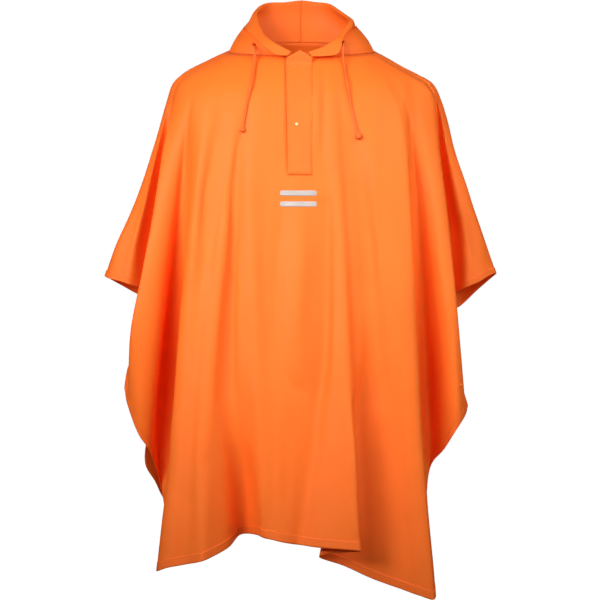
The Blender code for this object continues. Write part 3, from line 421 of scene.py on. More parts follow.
def closed_shell(name, grid, normals, wall, flipped, mat, uv=None):
    """A closed thin wall round a grid of middle points, with uv in metres on the cloth."""
    uv = cloth_uv(grid) if uv is None else uv
    alive = ~np.isnan(grid[..., 0])
    index = np.full(grid.shape[:2], -1)
    index[alive] = np.arange(alive.sum()) * 2
    verts = np.empty((alive.sum() * 2, 3))
    verts[0::2] = grid[alive] + normals[alive] * wall / 2
    verts[1::2] = grid[alive] - normals[alive] * wall / 2
    quads = np.stack([index[corner] for corner in CORNERS], -1)
    quads = quads[(quads >= 0).all(-1)]
    if not flipped:
        quads = quads[:, ::-1]
    edges = {}
    for k in range(4):
        for p, q in zip(quads[:, k].tolist(), quads[:, (k + 1) % 4].tolist()):
            if not edges.pop((q, p), False):
                edges[(p, q)] = True
    rim = np.array([(q, p, p + 1, q + 1) for p, q in edges])
    obj = worn(name, verts.tolist(), np.concatenate((quads, quads[:, ::-1] + 1, rim)).tolist(), mat)
    layer = obj.data.uv_layers.new(name="cloth")
    loops = np.empty(len(obj.data.loops), dtype=int)
    obj.data.loops.foreach_get("vertex_index", loops)
    layer.data.foreach_set("uv", np.repeat(uv[alive], 2, axis=0)[loops].ravel())
    return obj


# ---- creases pressed into the cloth
CREASE_END = 0.08            # part of the tapering sine that is left off at either end of a crease
SQUARE_FROM, SQUARE_OVER = 0.15, 0.45      # how squarely cloth faces front or back before it takes a crease


def press(grid, normals, creases, facing):
    """Moves grid points along their normals by soft troughs and ridges, on the cloth that faces
    front (-1) or back (1). A crease: half width in elevation units, height in mm (troughs below
    zero), points (across, height)."""
    across, height = seen_at(grid)
    move = np.zeros(across.shape)
    for half, tall, *line in creases:
        pts = np.array(line, float)
        steps = np.linalg.norm(np.diff(pts, axis=0), axis=1)
        length = steps.sum()
        low, high = pts.min(0) - 3 * half, pts.max(0) + 3 * half
        near = (across > low[0]) & (across < high[0]) & (height > low[1]) & (height < high[1])
        x, y = across[near], height[near]
        best = np.full(x.shape, 1e9)
        along = np.zeros(x.shape)
        run = 0.0
        for k in range(len(steps)):
            ax, ay = pts[k]
            bx, by = pts[k + 1] - pts[k]
            t = np.clip(((x - ax) * bx + (y - ay) * by) / max(steps[k] ** 2, 1e-9), 0, 1)
            gap = np.hypot(x - ax - t * bx, y - ay - t * by)
            closer = gap < best
            best[closer] = gap[closer]
            along[closer] = (run + t * steps[k])[closer]
            run += steps[k]
        share = np.clip(along / length, 0, 1)
        taper = np.sin(np.pi * (CREASE_END + (1 - 2 * CREASE_END) * share)) ** 0.8
        move[near] += tall / 1000.0 * taper * np.exp(-((best / half) ** 2) * 1.2)
    square = np.clip((facing * normals[..., 1] - SQUARE_FROM) / SQUARE_OVER, 0, 1)
    return grid + normals * (move * square * square * (3 - 2 * square))[..., None]


# ---- materials
def node_material(name):
    mat = bpy.data.materials.new(name)
    mat.use_nodes = True
    return mat, mat.node_tree, mat.node_tree.nodes["Principled BSDF"]


def set_inputs(node, **values):
    """Constant sockets, set directly; an underscore in a name stands for a space."""
    for socket, value in values.items():
        node.inputs[socket.replace("_", " ")].default_value = value


def texture(tree, kind, vector, **values):
    """A texture node that reads `vector`."""
    node = tree.nodes.new("ShaderNodeTex" + kind)
    set_inputs(node, **values)
    tree.links.new(vector, node.inputs["Vector"])
    return node


def bump(tree, height, strength, distance):
    """A bump node raised by `height`, distance in metres."""
    node = tree.nodes.new("ShaderNodeBump")
    set_inputs(node, Strength=strength, Distance=distance)
    tree.links.new(height, node.inputs["Height"])
    return node


WEAVE = 0.00042              # metres from thread to thread


def cloth_material(name, colour, roughness=0.6):
    """Coated plain-weave cloth: fine weave, faint crinkle, a soft sheen and a faint painted red glow."""
    mat, tree, shader = node_material(name)
    new, link = tree.nodes.new, tree.links.new
    uv_map = new("ShaderNodeUVMap")
    uv_map.uv_map = "cloth"
    uv = uv_map.outputs["UV"]
    tint = texture(tree, "Noise", uv, Scale=14.0, Detail=3.0)
    mix = new("ShaderNodeMix")
    mix.data_type = "RGBA"
    set_inputs(mix, A=(*[c * 0.95 for c in colour], 1.0), B=(*[min(1.0, c * 1.04) for c in colour], 1.0))
    link(tint.outputs["Fac"], mix.inputs["Factor"])
    link(mix.outputs["Result"], shader.inputs["Base Color"])
    set_inputs(shader, Roughness=roughness, IOR=1.45, Specular_IOR_Level=0.3)
    set_inputs(shader, Sheen_Weight=0.05, Sheen_Roughness=0.5, Sheen_Tint=(1.0, 0.55, 0.3, 1.0))
    # painted light: the cloth glows a faint red of its own, though it is no lamp, so that shadows turn red and
    # not brown
    set_inputs(shader, Emission_Color=(1.0, 0.03, 0.0, 1.0), Emission_Strength=0.05)
    threads = new("ShaderNodeMath")
    threads.operation = "MULTIPLY"
    for k, direction in enumerate(("X", "Y")):
        wave = texture(tree, "Wave", uv, Scale=1.0 / WEAVE / 20.0 * 3.14)
        wave.wave_type = "BANDS"
        wave.bands_direction = direction
        link(wave.outputs["Fac"], threads.inputs[k])
    fine = bump(tree, threads.outputs["Value"], 0.25, 0.00006)
    folds = texture(tree, "Noise", uv, Scale=55.0, Detail=4.0, Roughness=0.55)
    soft = bump(tree, folds.outputs["Fac"], 0.35, 0.0011)
    link(fine.outputs["Normal"], soft.inputs["Normal"])
    link(soft.outputs["Normal"], shader.inputs["Normal"])
    return mat


def plain_material(name, colour, roughness, metallic=0.0, grain=900.0, depth=0.00005):
    """One colour with a fine grain."""
    mat, tree, shader = node_material(name)
    set_inputs(shader, Base_Color=(*colour, 1.0), Roughness=roughness, Metallic=metallic)
    where = tree.nodes.new("ShaderNodeTexCoord")
    grains = texture(tree, "Noise", where.outputs["Object"], Scale=grain)
    raised = bump(tree, grains.outputs["Fac"], 0.3, depth)
    tree.links.new(raised.outputs["Normal"], shader.inputs["Normal"])
    return mat


# both cloths carry the painted red glow of cloth_material
CLOTH = cloth_material("coated_cloth", (0.92, 0.165, 0.014))
BAND_CLOTH = cloth_material("coated_cloth_band", (0.90, 0.16, 0.016), 0.62)
THREAD = plain_material("sewing_thread", (0.66, 0.085, 0.014), 0.6)
SILVER = plain_material("reflective_print", (0.43, 0.38, 0.355), 0.45, 0.2, 2600.0, 0.00003)
CORD = plain_material("braided_cord", (0.76, 0.125, 0.008), 0.7, 0.0, 1500.0, 0.0002)
BRASS = plain_material("brass", (1.0, 0.80, 0.48), 0.28, 0.75, 400.0, 0.00002)
COVERED = plain_material("covered_snap_cap", (0.92, 0.165, 0.018), 0.5, 0.0, 1200.0, 0.00004)
RIM = plain_material("eyelet_rim", (0.86, 0.14, 0.02), 0.45, 0.0, 800.0, 0.00003)


# ---- the two panels
SWELLS = 14                           # waves laid over each other
SWELL_LENGTHS = 0.6, 1.8              # of the scale
SWELL_LEAN = 0.45                     # radians, the spread of their directions
SWELL_BEND, SWELL_BENDS = 1.7, 9      # how far a wave is bent, and how often down the cloth, in radians


def waviness(grid, scale, tall, seed):
    """Small uneven swells of the cloth, in metres."""
    rng = np.random.default_rng(seed)
    total = np.zeros(grid.shape[:2])
    for _ in range(SWELLS):
        lean = rng.normal(0, SWELL_LEAN)
        wave = 2 * math.pi / (scale * rng.uniform(*SWELL_LENGTHS))
        direction = np.array((math.cos(lean), 0.4 * math.sin(lean), 0.45 * math.sin(lean)))
        phase = rng.uniform(0, 2 * math.pi)
        bend = SWELL_BEND * np.sin(grid[..., 2] * SWELL_BENDS + phase)
        total += np.sin(grid @ direction * wave + phase + bend)
    return total / SWELLS ** 0.5 * tall


front, back, front_left, front_right, back_left, back_right = panel_grids()


CALM_PASSES = 30
CALM_IN, CALM_OUT = 15, 25             # elevation units over which the evening sets in and fades out
CALM_FROM, CALM_OVER = 0.06, 0.03      # metres in depth from the shoulder line where it starts, and to full


def calm(grid, first, last):
    """Evens out the rows between two elevation heights, along the fold lines."""
    height = seen_at(grid)[1][1:-1, :, None]
    ease = np.clip((height - first) / CALM_IN, 0, 1) * np.clip((last - height) / CALM_OUT, 0, 1)
    ease = ease * np.clip((np.abs(grid[1:-1, :, 1:2] - SHOULDER_DEPTH / 1000) - CALM_FROM) / CALM_OVER, 0, 1)
    for _ in range(CALM_PASSES):
        mean = (grid[:-2] + grid[2:]) / 2
        step = np.nan_to_num((mean - grid[1:-1]) * ease)
        step[LAST_UPPER - 3:] = 0
        grid[1:-1] += step
    return grid


front = calm(front, 64, 150)
back = calm(back, 55, 150)
upper = slice(0, LAST_UPPER + 1)
lower = slice(LAST_UPPER + 1, None)
for column in (0, -1):
    front[upper, column] = back[upper, column] = (front[upper, column] + back[upper, column]) / 2
front_total = grid_normals(front, False)
back_total = grid_normals(back, True)
# the two panels share the normals of their seams
for f_col, b_col, rows in ((0, 0, upper), (-1, -1, upper), (front_left, back_left, lower),
                           (front_right, back_right, lower)):
    both = front_total[rows, f_col] + back_total[rows, b_col]
    front_total[rows, f_col] = both
    back_total[rows, b_col] = both
front_normals = unit(front_total)
back_normals = unit(back_total)

# creases pressed into the cloth: half width in elevation units, height in mm (troughs below zero), points
FRONT_CREASES = (
    (7.0, 4.8, (217, 98), (207, 140), (203, 170), (198, 210), (194, 240), (190, 280)),
    (8.0, -6.0, (238, 100), (229, 140), (224, 170), (218, 210), (212, 240), (208, 275)),
    (6.0, 5.6, (236, 120), (231, 165), (227, 205), (224, 240), (221, 270), (219, 300), (215, 350),
     (211, 400), (207, 450)),
    (5.0, -3.3, (236, 125), (238, 165), (236, 200), (235, 230), (233, 260), (231, 300)),
    (9.0, 4.8, (302, 205), (300, 260), (298, 320), (300, 375)),
    (6.0, -4.5, (283, 205), (278, 260), (276, 320), (279, 350), (285, 374), (293, 387), (304, 393)),
    (8.0, -10.5, (325, 205), (325, 260), (325, 320), (323, 360), (318, 400), (313, 450), (306, 500),
     (300, 560)),
    (6.0, 7.0, (333, 92), (336, 140), (339, 190), (342, 250), (345, 320), (349, 380), (353, 450), (357, 530)),
    (9.0, -7.5, (344, 110), (355, 160), (362, 200), (367, 240), (372, 300), (377, 350), (379, 400)),
    (5.0, 2.7, (378, 95), (374, 150), (376, 210), (384, 300)),
    (4.0, 2.7, (316, 66), (318, 100), (316, 150)),
    (4.0, -3.6, (324, 70), (325, 110), (322, 160)),
    (6.0, 3.3, (403, 82), (405, 120), (407, 160), (411, 200), (414, 250), (417, 300)),
    (6.0, -2.4, (411, 84), (417, 120), (424, 165), (430, 205), (435, 245)),
    (8.0, 5.5, (251, 180), (254, 240), (255, 300), (258, 360), (260, 400)),
    (9.0, -8.0, (230, 280), (227, 320), (226, 360), (226, 400), (232, 450), (239, 500)),
    (9.0, 3.9, (256, 390), (258, 440), (262, 500), (264, 535)),
    (8.0, -2.4, (287, 430), (286, 470), (282, 530)),
    (4.0, 3.4, (207, 470), (205, 520), (203, 580)),
    (7.5, -8.0, (246, 452), (250, 490), (252, 520), (254, 580)),
    (11.0, -8.0, (464, 222), (479, 248), (490, 268)),
)
PLACKET_GAP = ((2.2, -4.5, (286.3, 40), (286.6, 58), (287.3, 100), (288.3, 140), (289.2, 170), (289.6, 181)),)
BACK_CREASES = (
    (7.0, 4.5, (386, 110), (396, 160), (402, 210), (406, 260)),
    (6.0, -4.0, (370, 112), (378, 165), (384, 220), (388, 275)),
    (9.0, 6.0, (352, 140), (358, 240), (362, 330), (364, 420), (366, 500)),
    (7.0, -6.0, (336, 165), (338, 260), (340, 350), (344, 440), (346, 505)),
    (11.0, 4.4, (318, 220), (316, 300), (318, 390), (322, 505)),
    (8.0, -6.4, (296, 180), (292, 280), (294, 370), (298, 505)),
    (8.0, 5.4, (272, 150), (268, 250), (270, 340), (276, 430), (280, 505)),
    (9.0, -4.2, (250, 225), (246, 310), (250, 400), (256, 500)),
    (7.0, 6.0, (232, 118), (222, 190), (218, 260), (222, 340), (232, 440)),
    (6.0, -4.2, (214, 110), (206, 160), (200, 220), (198, 290)),
    (7.0, 3.6, (198, 110), (190, 160), (184, 210), (180, 260)),
    (8.0, -5.0, (204, 320), (206, 400), (214, 470)),
    (9.0, 4.6, (384, 300), (388, 380), (384, 460)),
)
front = press(front, front_normals, FRONT_CREASES, -1)
under_placket = front.copy()
front = press(front, front_normals, PLACKET_GAP, -1)
back = press(back, back_normals, BACK_CREASES, 1)
front = front + front_normals * waviness(front, 0.07, 0.0005, 3)[..., None]
back = back + back_normals * waviness(back, 0.07, 0.0005, 5)[..., None]
front_normals = unit(grid_normals(front, False) + 1e-9)
back_normals = unit(grid_normals(back, True) + 1e-9)

for name, node, grid, normals, flipped in (("front_cloth", "front_panel", front, front_normals, False),
                                           ("back_cloth", "back_panel", back, back_normals, True)):
    cloth = closed_shell(name, grid, normals, SHELL, flipped, CLOTH)
    stands_for(cloth, node)


# ---- hood
HOOD_CUTS = 6


def neck_point(degrees, side):
    """The point of the neck edge at an angle, in front (-1) or behind (1)."""
    angle = math.radians(degrees)
    half = YOKE[0][1] if math.cos(angle) > 0 else YOKE[0][2]
    reach = YOKE[0][3] if side < 0 else YOKE[0][4]
    drop = NECK_FRONT_DROP if side < 0 else -NECK_BACK_RISE
    height = NECK_SIDE + drop * math.sin(angle)
    depth = SHOULDER_DEPTH + side * reach * math.sin(angle)
    return place(NECK_CENTRE - half * math.cos(angle), height, depth)


def hood_grid():
    """Points of the hood (row from the neck seam over the crest to the free edge, column, xyz)."""
    centre = place(NECK_CENTRE, NECK_SIDE, SHOULDER_DEPTH)
    columns = []
    for degrees, side, crest_at, edge_at, drop in HOOD:
        seam = neck_point(degrees, side) + np.array((0.0, 0.0, NECK_GAP))
        crest, edge = place(*crest_at), place(*edge_at)
        out = unit((seam - centre) * np.array((1.0, 1.0, 0.0)))
        inner_crest = crest - out * HOOD_CREST_WIDTH / 2
        outer_crest = crest + out * HOOD_CREST_WIDTH / 2
        bulge = min(HOOD_BULGE, np.linalg.norm(inner_crest - seam) * 0.08)
        column = [seam + (inner_crest - seam) * part + out * bulge * math.sin(math.pi * part)
                  for part in HOOD_WALL]
        column += [inner_crest, outer_crest]
        for part, fall in HOOD_FALL:
            down = np.array((0.0, 0.0, -drop / 1000.0 * fall))
            column.append(outer_crest + (edge - outer_crest) * part + down)
        columns.append(column)
    wide = through_ring(np.array(columns).transpose(1, 0, 2), HOOD_CUTS, closed=False)
    return through_ring(wide.transpose(1, 0, 2), HOOD_CUTS, closed=False).transpose(1, 0, 2)


HOOD_CREASES = (
    (1.5, -2.6, (254.6, 43.5), (257.0, 47.0), (259.5, 51.0), (262.0, 54.5)),
    (1.5, -2.6, (342.2, 39.5), (340.6, 45.0), (338.5, 50.0), (336.6, 53.5)),
)
hood = hood_grid()
hood = press(hood, unit(grid_normals(hood, False)), HOOD_CREASES, -1)
hood_normals = unit(grid_normals(hood, False))
hood_uv = cloth_uv(hood)
middle = HOOD_CENTRE * HOOD_CUTS
for name, columns in (("hood_left", slice(0, middle + 1)), ("hood_right", slice(middle, None))):
    half = closed_shell(name + "_cloth", hood[:, columns], hood_normals[:, columns], SHELL, False, CLOTH,
                        hood_uv[:, columns])
    stands_for(half, name)


# ---- reading spots off a grid
ON_EDGE = 1e-9               # a spot this far past the edge of a triangle still counts


def turn_of(a, b):
    """Twice the area between two directions of the elevation."""
    return a[0] * b[1] - a[1] * b[0]


class Surface:
    """Finds the spot of a grid that shows at an elevation position, on the side turned to the viewer."""

    def __init__(self, grid, normals):
        cells = [np.stack([values[corner] for corner in CORNERS], 2)
                 for values in (np.stack(seen_at(grid), -1), grid, normals)]
        alive = ~np.isnan(cells[0]).any((2, 3))
        self.seen, self.at, self.facing = (cell[alive] for cell in cells)
        self.low = self.seen.min(1)
        self.high = self.seen.max(1)

    def spot(self, across, height):
        """The nearest point there and its normal, or None."""
        want = np.array((across, height))
        best = None
        for k in np.nonzero(np.all((self.low <= want) & (self.high >= want), 1))[0]:
            for half in ([0, 1, 2], [0, 2, 3]):
                p, q, r = self.seen[k, half]
                area = turn_of(q - p, r - p)
                if abs(area) < 1e-12:
                    continue
                v, w = turn_of(want - p, r - p) / area, turn_of(q - p, want - p) / area
                if min(v, w) < -ON_EDGE or v + w > 1 + ON_EDGE:
                    continue
                point, facing = ((1 - v - w) * x[0] + v * x[1] + w * x[2]
                                 for x in (self.at[k, half], self.facing[k, half]))
                if best is None or point[1] < best[0][1]:
                    best = (point, unit(facing))
        return best


def run_of(points):
    """How far along a line each of its points lies."""
    return np.concatenate(([0.0], np.cumsum(np.linalg.norm(np.diff(points, axis=0), axis=1))))


def read_off(at, run, values):
    """The values of a line at the distances `at` along it."""
    return np.stack([np.interp(at, run, column) for column in values.T], -1)


def resample(points, extra, step):
    """Points `step` apart along a line, with the values that go with them."""
    keep = np.concatenate(([True], np.linalg.norm(np.diff(points, axis=0), axis=1) > 1e-7))
    points, extra = points[keep], extra[keep]
    run = run_of(points)
    at = np.linspace(0.0, run[-1], max(1, int(run[-1] / step)) + 1)
    return read_off(at, run, points), read_off(at, run, extra)


def tube_faces(rings, around, base=0):
    """The faces of a closed tube that has `rings` steps of `around` points, with both ends."""
    faces = []
    for k in range(rings):
        for j in range(around):
            a = base + k * around + j
            b = base + k * around + (j + 1) % around
            faces.append((a, b, b + around, a + around))
    faces.append(tuple(base + j for j in reversed(range(around))))
    faces.append(tuple(base + rings * around + j for j in range(around)))
    return faces


def circle(first, second, around):
    """Unit steps in the plane of two directions, all the way round: (angle, step)."""
    for j in range(around):
        angle = 2 * math.pi * j / around
        yield angle, first * math.cos(angle) + second * math.sin(angle)


THREAD_AROUND = 5            # points round a thread
THREAD_ENDS = 0.5, 0.8       # of its radius: how thin a span ends, and how far it sinks in there
THREAD_BED = 0.0004          # metres that the cloth gives way under a thread


def stitches(name, lines, pitch=0.0034, length=0.0024, radius=0.00024, lift=0.0005):
    """Short thread spans lying on the cloth along lines of (points, normals)."""
    thin, sunk = THREAD_ENDS
    verts, faces = [], []
    for points, facings in lines:
        if len(points) < 2:
            continue
        at, facing = resample(points, facings, pitch)
        facing = unit(facing)
        for k in range(len(at) - 1):
            along = unit(at[k + 1] - at[k])
            side = unit(np.cross(along, facing[k]))
            centre = (at[k] + at[k + 1]) / 2 + facing[k] * (SHELL / 2 + lift - THREAD_BED)
            faces += tube_faces(2, THREAD_AROUND, len(verts))
            for share, size, sink in ((-0.5, thin, sunk), (0.0, 1.0, 0.0), (0.5, thin, sunk)):
                for _, offset in circle(side, facing[k], THREAD_AROUND):
                    verts.append(centre + along * length * share + offset * radius * size
                                 - facing[k] * radius * sink)
    worn(name, verts, faces, THREAD)


def edge_strip(name, lines, distances, lift):
    """A narrow layer along an edge: each line runs from the edge into the cloth."""
    grid, facing = [], []
    for points, facings in lines:
        run = run_of(points)
        at = np.minimum(distances, run[-1])
        normal = unit(read_off(at, run, facings))
        grid.append(read_off(at, run, points) + normal * lift)
        facing.append(normal)
    grid, facing = (np.array(rows).transpose(1, 0, 2) for rows in (grid, facing))
    return closed_shell(name, grid, facing, STRIP_WALL, True, BAND_CLOTH)


def line_at(lines, distance):
    """The line that keeps one distance from the edge that `lines` start on."""
    spots, facing = [], []
    for points, facings in lines:
        run = run_of(points)
        if run[-1] > distance:
            spots.append(read_off(distance, run, points))
            facing.append(read_off(distance, run, facings))
    return np.array(spots), unit(np.array(facing))


LINE_POINTS = 24             # enough points of a grid line to reach past a turned edge


def lines_up(grid, normals, row, columns):
    """From row `row` up the cloth, one line for each column."""
    return [(grid[row::-1, c][:LINE_POINTS], normals[row::-1, c][:LINE_POINTS]) for c in columns]


def lines_in(grid, normals, rows, column, way):
    """From column `column` into the cloth, one line for each row."""
    return [(grid[r, column::way][:LINE_POINTS], normals[r, column::way][:LINE_POINTS]) for r in rows]


# ---- turned edges and their sewing
# width of the turned edge and how high it stands, at the hem and at the other edges
HEM, HEM_LIFT = 0.017, 0.0007
EDGE, EDGE_LIFT = 0.012, 0.0012
SEWN_INSIDE = 0.002          # from the inner edge of the turned strip to its sewing
last_row = front.shape[0] - 1
below = range(LAST_UPPER, last_row + 1)
panels = {"front": (front, front_normals, front_left, front_right),
          "back": (back, back_normals, back_left, back_right)}
edges = {}
for side, (grid, normals, left, right) in panels.items():
    edges["hem_" + side] = lines_up(grid, normals, last_row, range(left, right + 1))
for side, (grid, normals, left, right) in panels.items():
    edges["sleeve_edge_" + side + "_left"] = lines_up(grid, normals, LAST_UPPER, range(0, left + 1))
    edges["sleeve_edge_" + side + "_right"] = lines_up(grid, normals, LAST_UPPER, range(right, grid.shape[1]))
for side, (grid, normals, left, right) in panels.items():
    edges["side_edge_" + side + "_left"] = lines_in(grid, normals, below, left, 1)
    edges["side_edge_" + side + "_right"] = lines_in(grid, normals, below, right, -1)
seam_lines = []
for name, lines in edges.items():
    width, lift = (HEM, HEM_LIFT) if name.startswith("hem") else (EDGE, EDGE_LIFT)
    strip = edge_strip(name, lines, np.linspace(0.0, width, 7), lift)
    points, facings = line_at(lines, width - SEWN_INSIDE)
    if len(points) > 1:
        seam_lines.append((points + facings * lift, facings))
# the seams along shoulders and arms, sewn a little in front of the join
SEAM_COLUMN = 2
for column in (SEAM_COLUMN, -1 - SEAM_COLUMN):
    seam_lines.append((front[:LAST_UPPER - 2, column], front_normals[:LAST_UPPER - 2, column]))
stitches("edge_sewing", seam_lines)

# ---- placket
PLACKET_PARTS = 0.034, 0.492                  # its two ends, as parts of the way from neck to underarm
PLACKET_TIP = ((286.5, 57.6), (293.2, 53.8), (300.0, 50.0), (306.3, 53.4), (312.2, 57.2))   # across, height
PLACKET_TIP_DEPTH = -91.0
PLACKET_SEWN = 0.00056                        # metres: how high its sewn edges stand
PLACKET_FREE = 0.0024                         # and its free edge
PLACKET_END = 0.06                            # of its length: where it comes down to the sewn lower end
fold_names = [fold[0] for fold in FRONT]
first = fold_names.index("placket left") * COLUMN_CUTS
last = fold_names.index("placket right") * COLUMN_CUTS
tip_points = place(*np.array(PLACKET_TIP).T, PLACKET_TIP_DEPTH)
share = np.linspace(0, 1, last - first + 1)
tip = read_off(share, np.linspace(0, 1, len(tip_points)), tip_points)
# the left edge stands free of the cloth, the right one and the lower end are sewn down
lift = PLACKET_FREE - (PLACKET_FREE - PLACKET_SEWN) * share ** 0.6
from_part, to_part = PLACKET_PARTS
body_rows = []
for r in range(LAST_UPPER + 1):
    if from_part < UPPER_PARTS[r] <= to_part:
        way = (UPPER_PARTS[r] - from_part) / (to_part - from_part)
        settle = min(1.0, max(0.0, (1.0 - way) / PLACKET_END))
        raised = (PLACKET_SEWN + (lift - PLACKET_SEWN) * settle)[:, None]
        body_rows.append(under_placket[r, first:last + 1] + front_normals[r, first:last + 1] * raised)
top_rows = [tip + (body_rows[0] - tip) * k / 4 for k in range(4)]
band = np.array(top_rows + body_rows)
band_normals = unit(grid_normals(band, False))
placket = closed_shell("placket_cloth", band, band_normals, PLACKET_WALL, False, BAND_CLOTH)
stands_for(placket, "placket")
low = len(band) - 2
placket_lines = [(band[5:-2, column] + band_normals[5:-2, column] * 0.0002, band_normals[5:-2, column])
                 for column in (1, -2)]
placket_lines += [(band[row, 1:-1], band_normals[row, 1:-1]) for row in (low, low - 4)]
stitches("placket_sewing", placket_lines, pitch=0.003, length=0.0022, lift=0.00055)

# ---- hood sewing
hood_lines = []
wall_rows = len(HOOD_WALL) * HOOD_CUTS
# across the hood: at the neck, behind the crest and along the free edge; down it: beside the centre seam
for columns in (slice(0, middle - 2), slice(middle + 3, None)):
    for r in (2, wall_rows + HOOD_CUTS * 2, -3):
        hood_lines.append((hood[r, columns], hood_normals[r, columns]))
for column in (middle - 2, middle + 2):
    hood_lines.append((hood[3:-2, column], hood_normals[3:-2, column]))
for grid, normals in ((front, front_normals), (back, back_normals)):
    hood_lines.append((grid[3, 2:-2], normals[3, 2:-2]))
stitches("hood_sewing", hood_lines, lift=0.00045)

# ---- reflective bars
chest = Surface(front[upper], front_normals[upper])
PRINT_LIFT = 0.00055         # metres that a print stands over the cloth
PRINT_ROWS, PRINT_COLUMNS = 7, 34
BAR_END = 1.2                # elevation units over which the ends of a bar are rounded
BAR_END_SHARE = 0.4          # of its half height that is left at the very end


def printed_bar(name, left, right, top, bottom):
    """A thin print with rounded ends, laid on the chest."""
    half = (bottom - top) / 2
    rows = []
    for k in range(PRINT_ROWS):
        row = []
        for a in np.linspace(left, right, PRINT_COLUMNS):
            round_end = math.sqrt(max(0.0, 1 - max(0.0, 1 - min(a - left, right - a) / BAR_END) ** 2))
            reach = half * min(1.0, round_end * (1 - BAR_END_SHARE) + BAR_END_SHARE)
            row.append(chest.spot(a, (top + bottom) / 2 + reach * (2 * k / (PRINT_ROWS - 1) - 1)))
        rows.append(row)
    points, normals = np.moveaxis(np.array(rows), 2, 0)
    bar = closed_shell(name, points + normals * PRINT_LIFT, normals, PRINT_WALL, False, SILVER)


printed_bar("reflective_bar_upper", 280.0, 316.8, 190.4, 196.0)
printed_bar("reflective_bar_lower", 280.0, 316.8, 201.3, 206.8)


# ---- snaps
LATHE_AROUND = 32


def lathe(name, node, centre, axis, profile, mat):
    """A solid turned about an axis, in place of a node: profile of (radius, height)."""
    axis = unit(axis)
    first = unit(np.cross(axis, (0.0, 0.0, 1.0)))
    second = np.cross(axis, first)
    verts = [centre + out * radius + axis * up
             for radius, up in profile for _, out in circle(first, second, LATHE_AROUND)]
    stands_for(worn(name, verts, tube_faces(len(profile) - 1, LATHE_AROUND), mat), node)


COVERED_PROFILE = [(0.0056, 0.0), (0.0055, 0.0006), (0.0048, 0.0011), (0.0034, 0.00145), (0.0018, 0.0016),
                   (0.0004, 0.0016)]
BRASS_PROFILE = [(0.0040, 0.0), (0.0041, 0.0006), (0.0038, 0.0012), (0.0032, 0.0014), (0.0028, 0.0011),
                 (0.0024, 0.0010), (0.0020, 0.0013), (0.0010, 0.0018), (0.0002, 0.0019)]
SIDE_SNAP_LIFT = 0.0012      # the turned edge is under the side snap
placket_surface = Surface(band, band_normals)
lathe("snap_upper_cap", "snap_upper", *placket_surface.spot(296.5, 66.5), COVERED_PROFILE, COVERED)
lathe("snap_lower_cap", "snap_lower", *placket_surface.spot(296.5, 124.0),
      [(r * 0.66, h * 0.8) for r, h in BRASS_PROFILE], BRASS)
spot, facing = Surface(front, front_normals).spot(460.5, 385.0)
lathe("snap_side_cap", "snap_side", spot + facing * SIDE_SNAP_LIFT, facing,
      [(r * 0.8, h) for r, h in BRASS_PROFILE], COVERED)

# ---- eyelets, drawcords and their knots
CORD_RADIUS = 0.0019
BRAID_PROUD = 1.12          # the braid's crests over that radius, so that it measures what it says
CORD_ROUTES = {
    "left": ((255.0, 49.5, -77), (255.0, 60, -79.5), (252.2, 80, -110), (248.0, 100, -130.5),
             (245.2, 115, -135), (243.3, 127.2, -138)),
    "right": ((343.2, 48, -79), (344.0, 62, -83), (347.6, 84, -113.5), (351.2, 105, -132),
              (355.0, 121, -137.5), (357.6, 131.0, -142)),
}
EYELETS = {"left": (255.0, 45.0), "right": (342.5, 42.8)}
RIM_HEIGHT = 0.0009                     # metres over the cloth where the cord leaves its eyelet
CORD_LEAVES = ((0.005, 0.0), (0.0105, 0.0035))    # its next two points: metres out of the eyelet, and down
CORD_CUTS, CORD_STEP = 14, 0.0012       # curve points between two of the route, then metres apart
CORD_CLEAR = 0.0007                     # metres between the chest and the cord on it
ON_CHEST = 95                           # elevation height below which the cord lies on the chest
CORD_AROUND, BRAID_DEPTH = 14, 0.09     # points round the cord; how deep its strands cross, of its radius
KNOT_AROUND, KNOT_RINGS = 32, 30
WINDING, WINDING_DEPTH = 0.0036, 0.13   # metres of a knot to one winding; its depth, of the radius
KNOT_START, KNOT_FLATNESS = 0.7, 0.85   # how thick it begins, of the cord; how thick it is to how wide
KNOTS = {"left": (0.0052, 0.0125, 0.62), "right": (0.0068, 0.0195, 0.70)}   # radius, length, where it is full
EYELET_PROFILE = [(0.0021, 0.0), (0.0042, 0.0), (0.0041, 0.0007), (0.0035, 0.0011), (0.0026, 0.0010),
                  (0.0021, 0.0005)]


def braided_tube(name, path, radius):
    """A closed tube along a path, with the crossing strands of a braid."""
    along = unit(np.gradient(path, axis=0))
    side = unit(np.cross(along[0], (0.3, 1.0, 0.2)))
    verts = []
    for point, ahead, run in zip(path, along, run_of(path)):
        side = unit(side - ahead * np.dot(side, ahead))
        twist = run / radius * 0.9
        for angle, out in circle(side, np.cross(ahead, side), CORD_AROUND):
            weave = math.sin(4 * angle + twist) * math.sin(4 * angle - twist)
            verts.append(point + out * (radius * (1.0 - BRAID_DEPTH + BRAID_DEPTH * weave)))
    return worn(name, verts, tube_faces(len(path) - 1, CORD_AROUND), CORD)


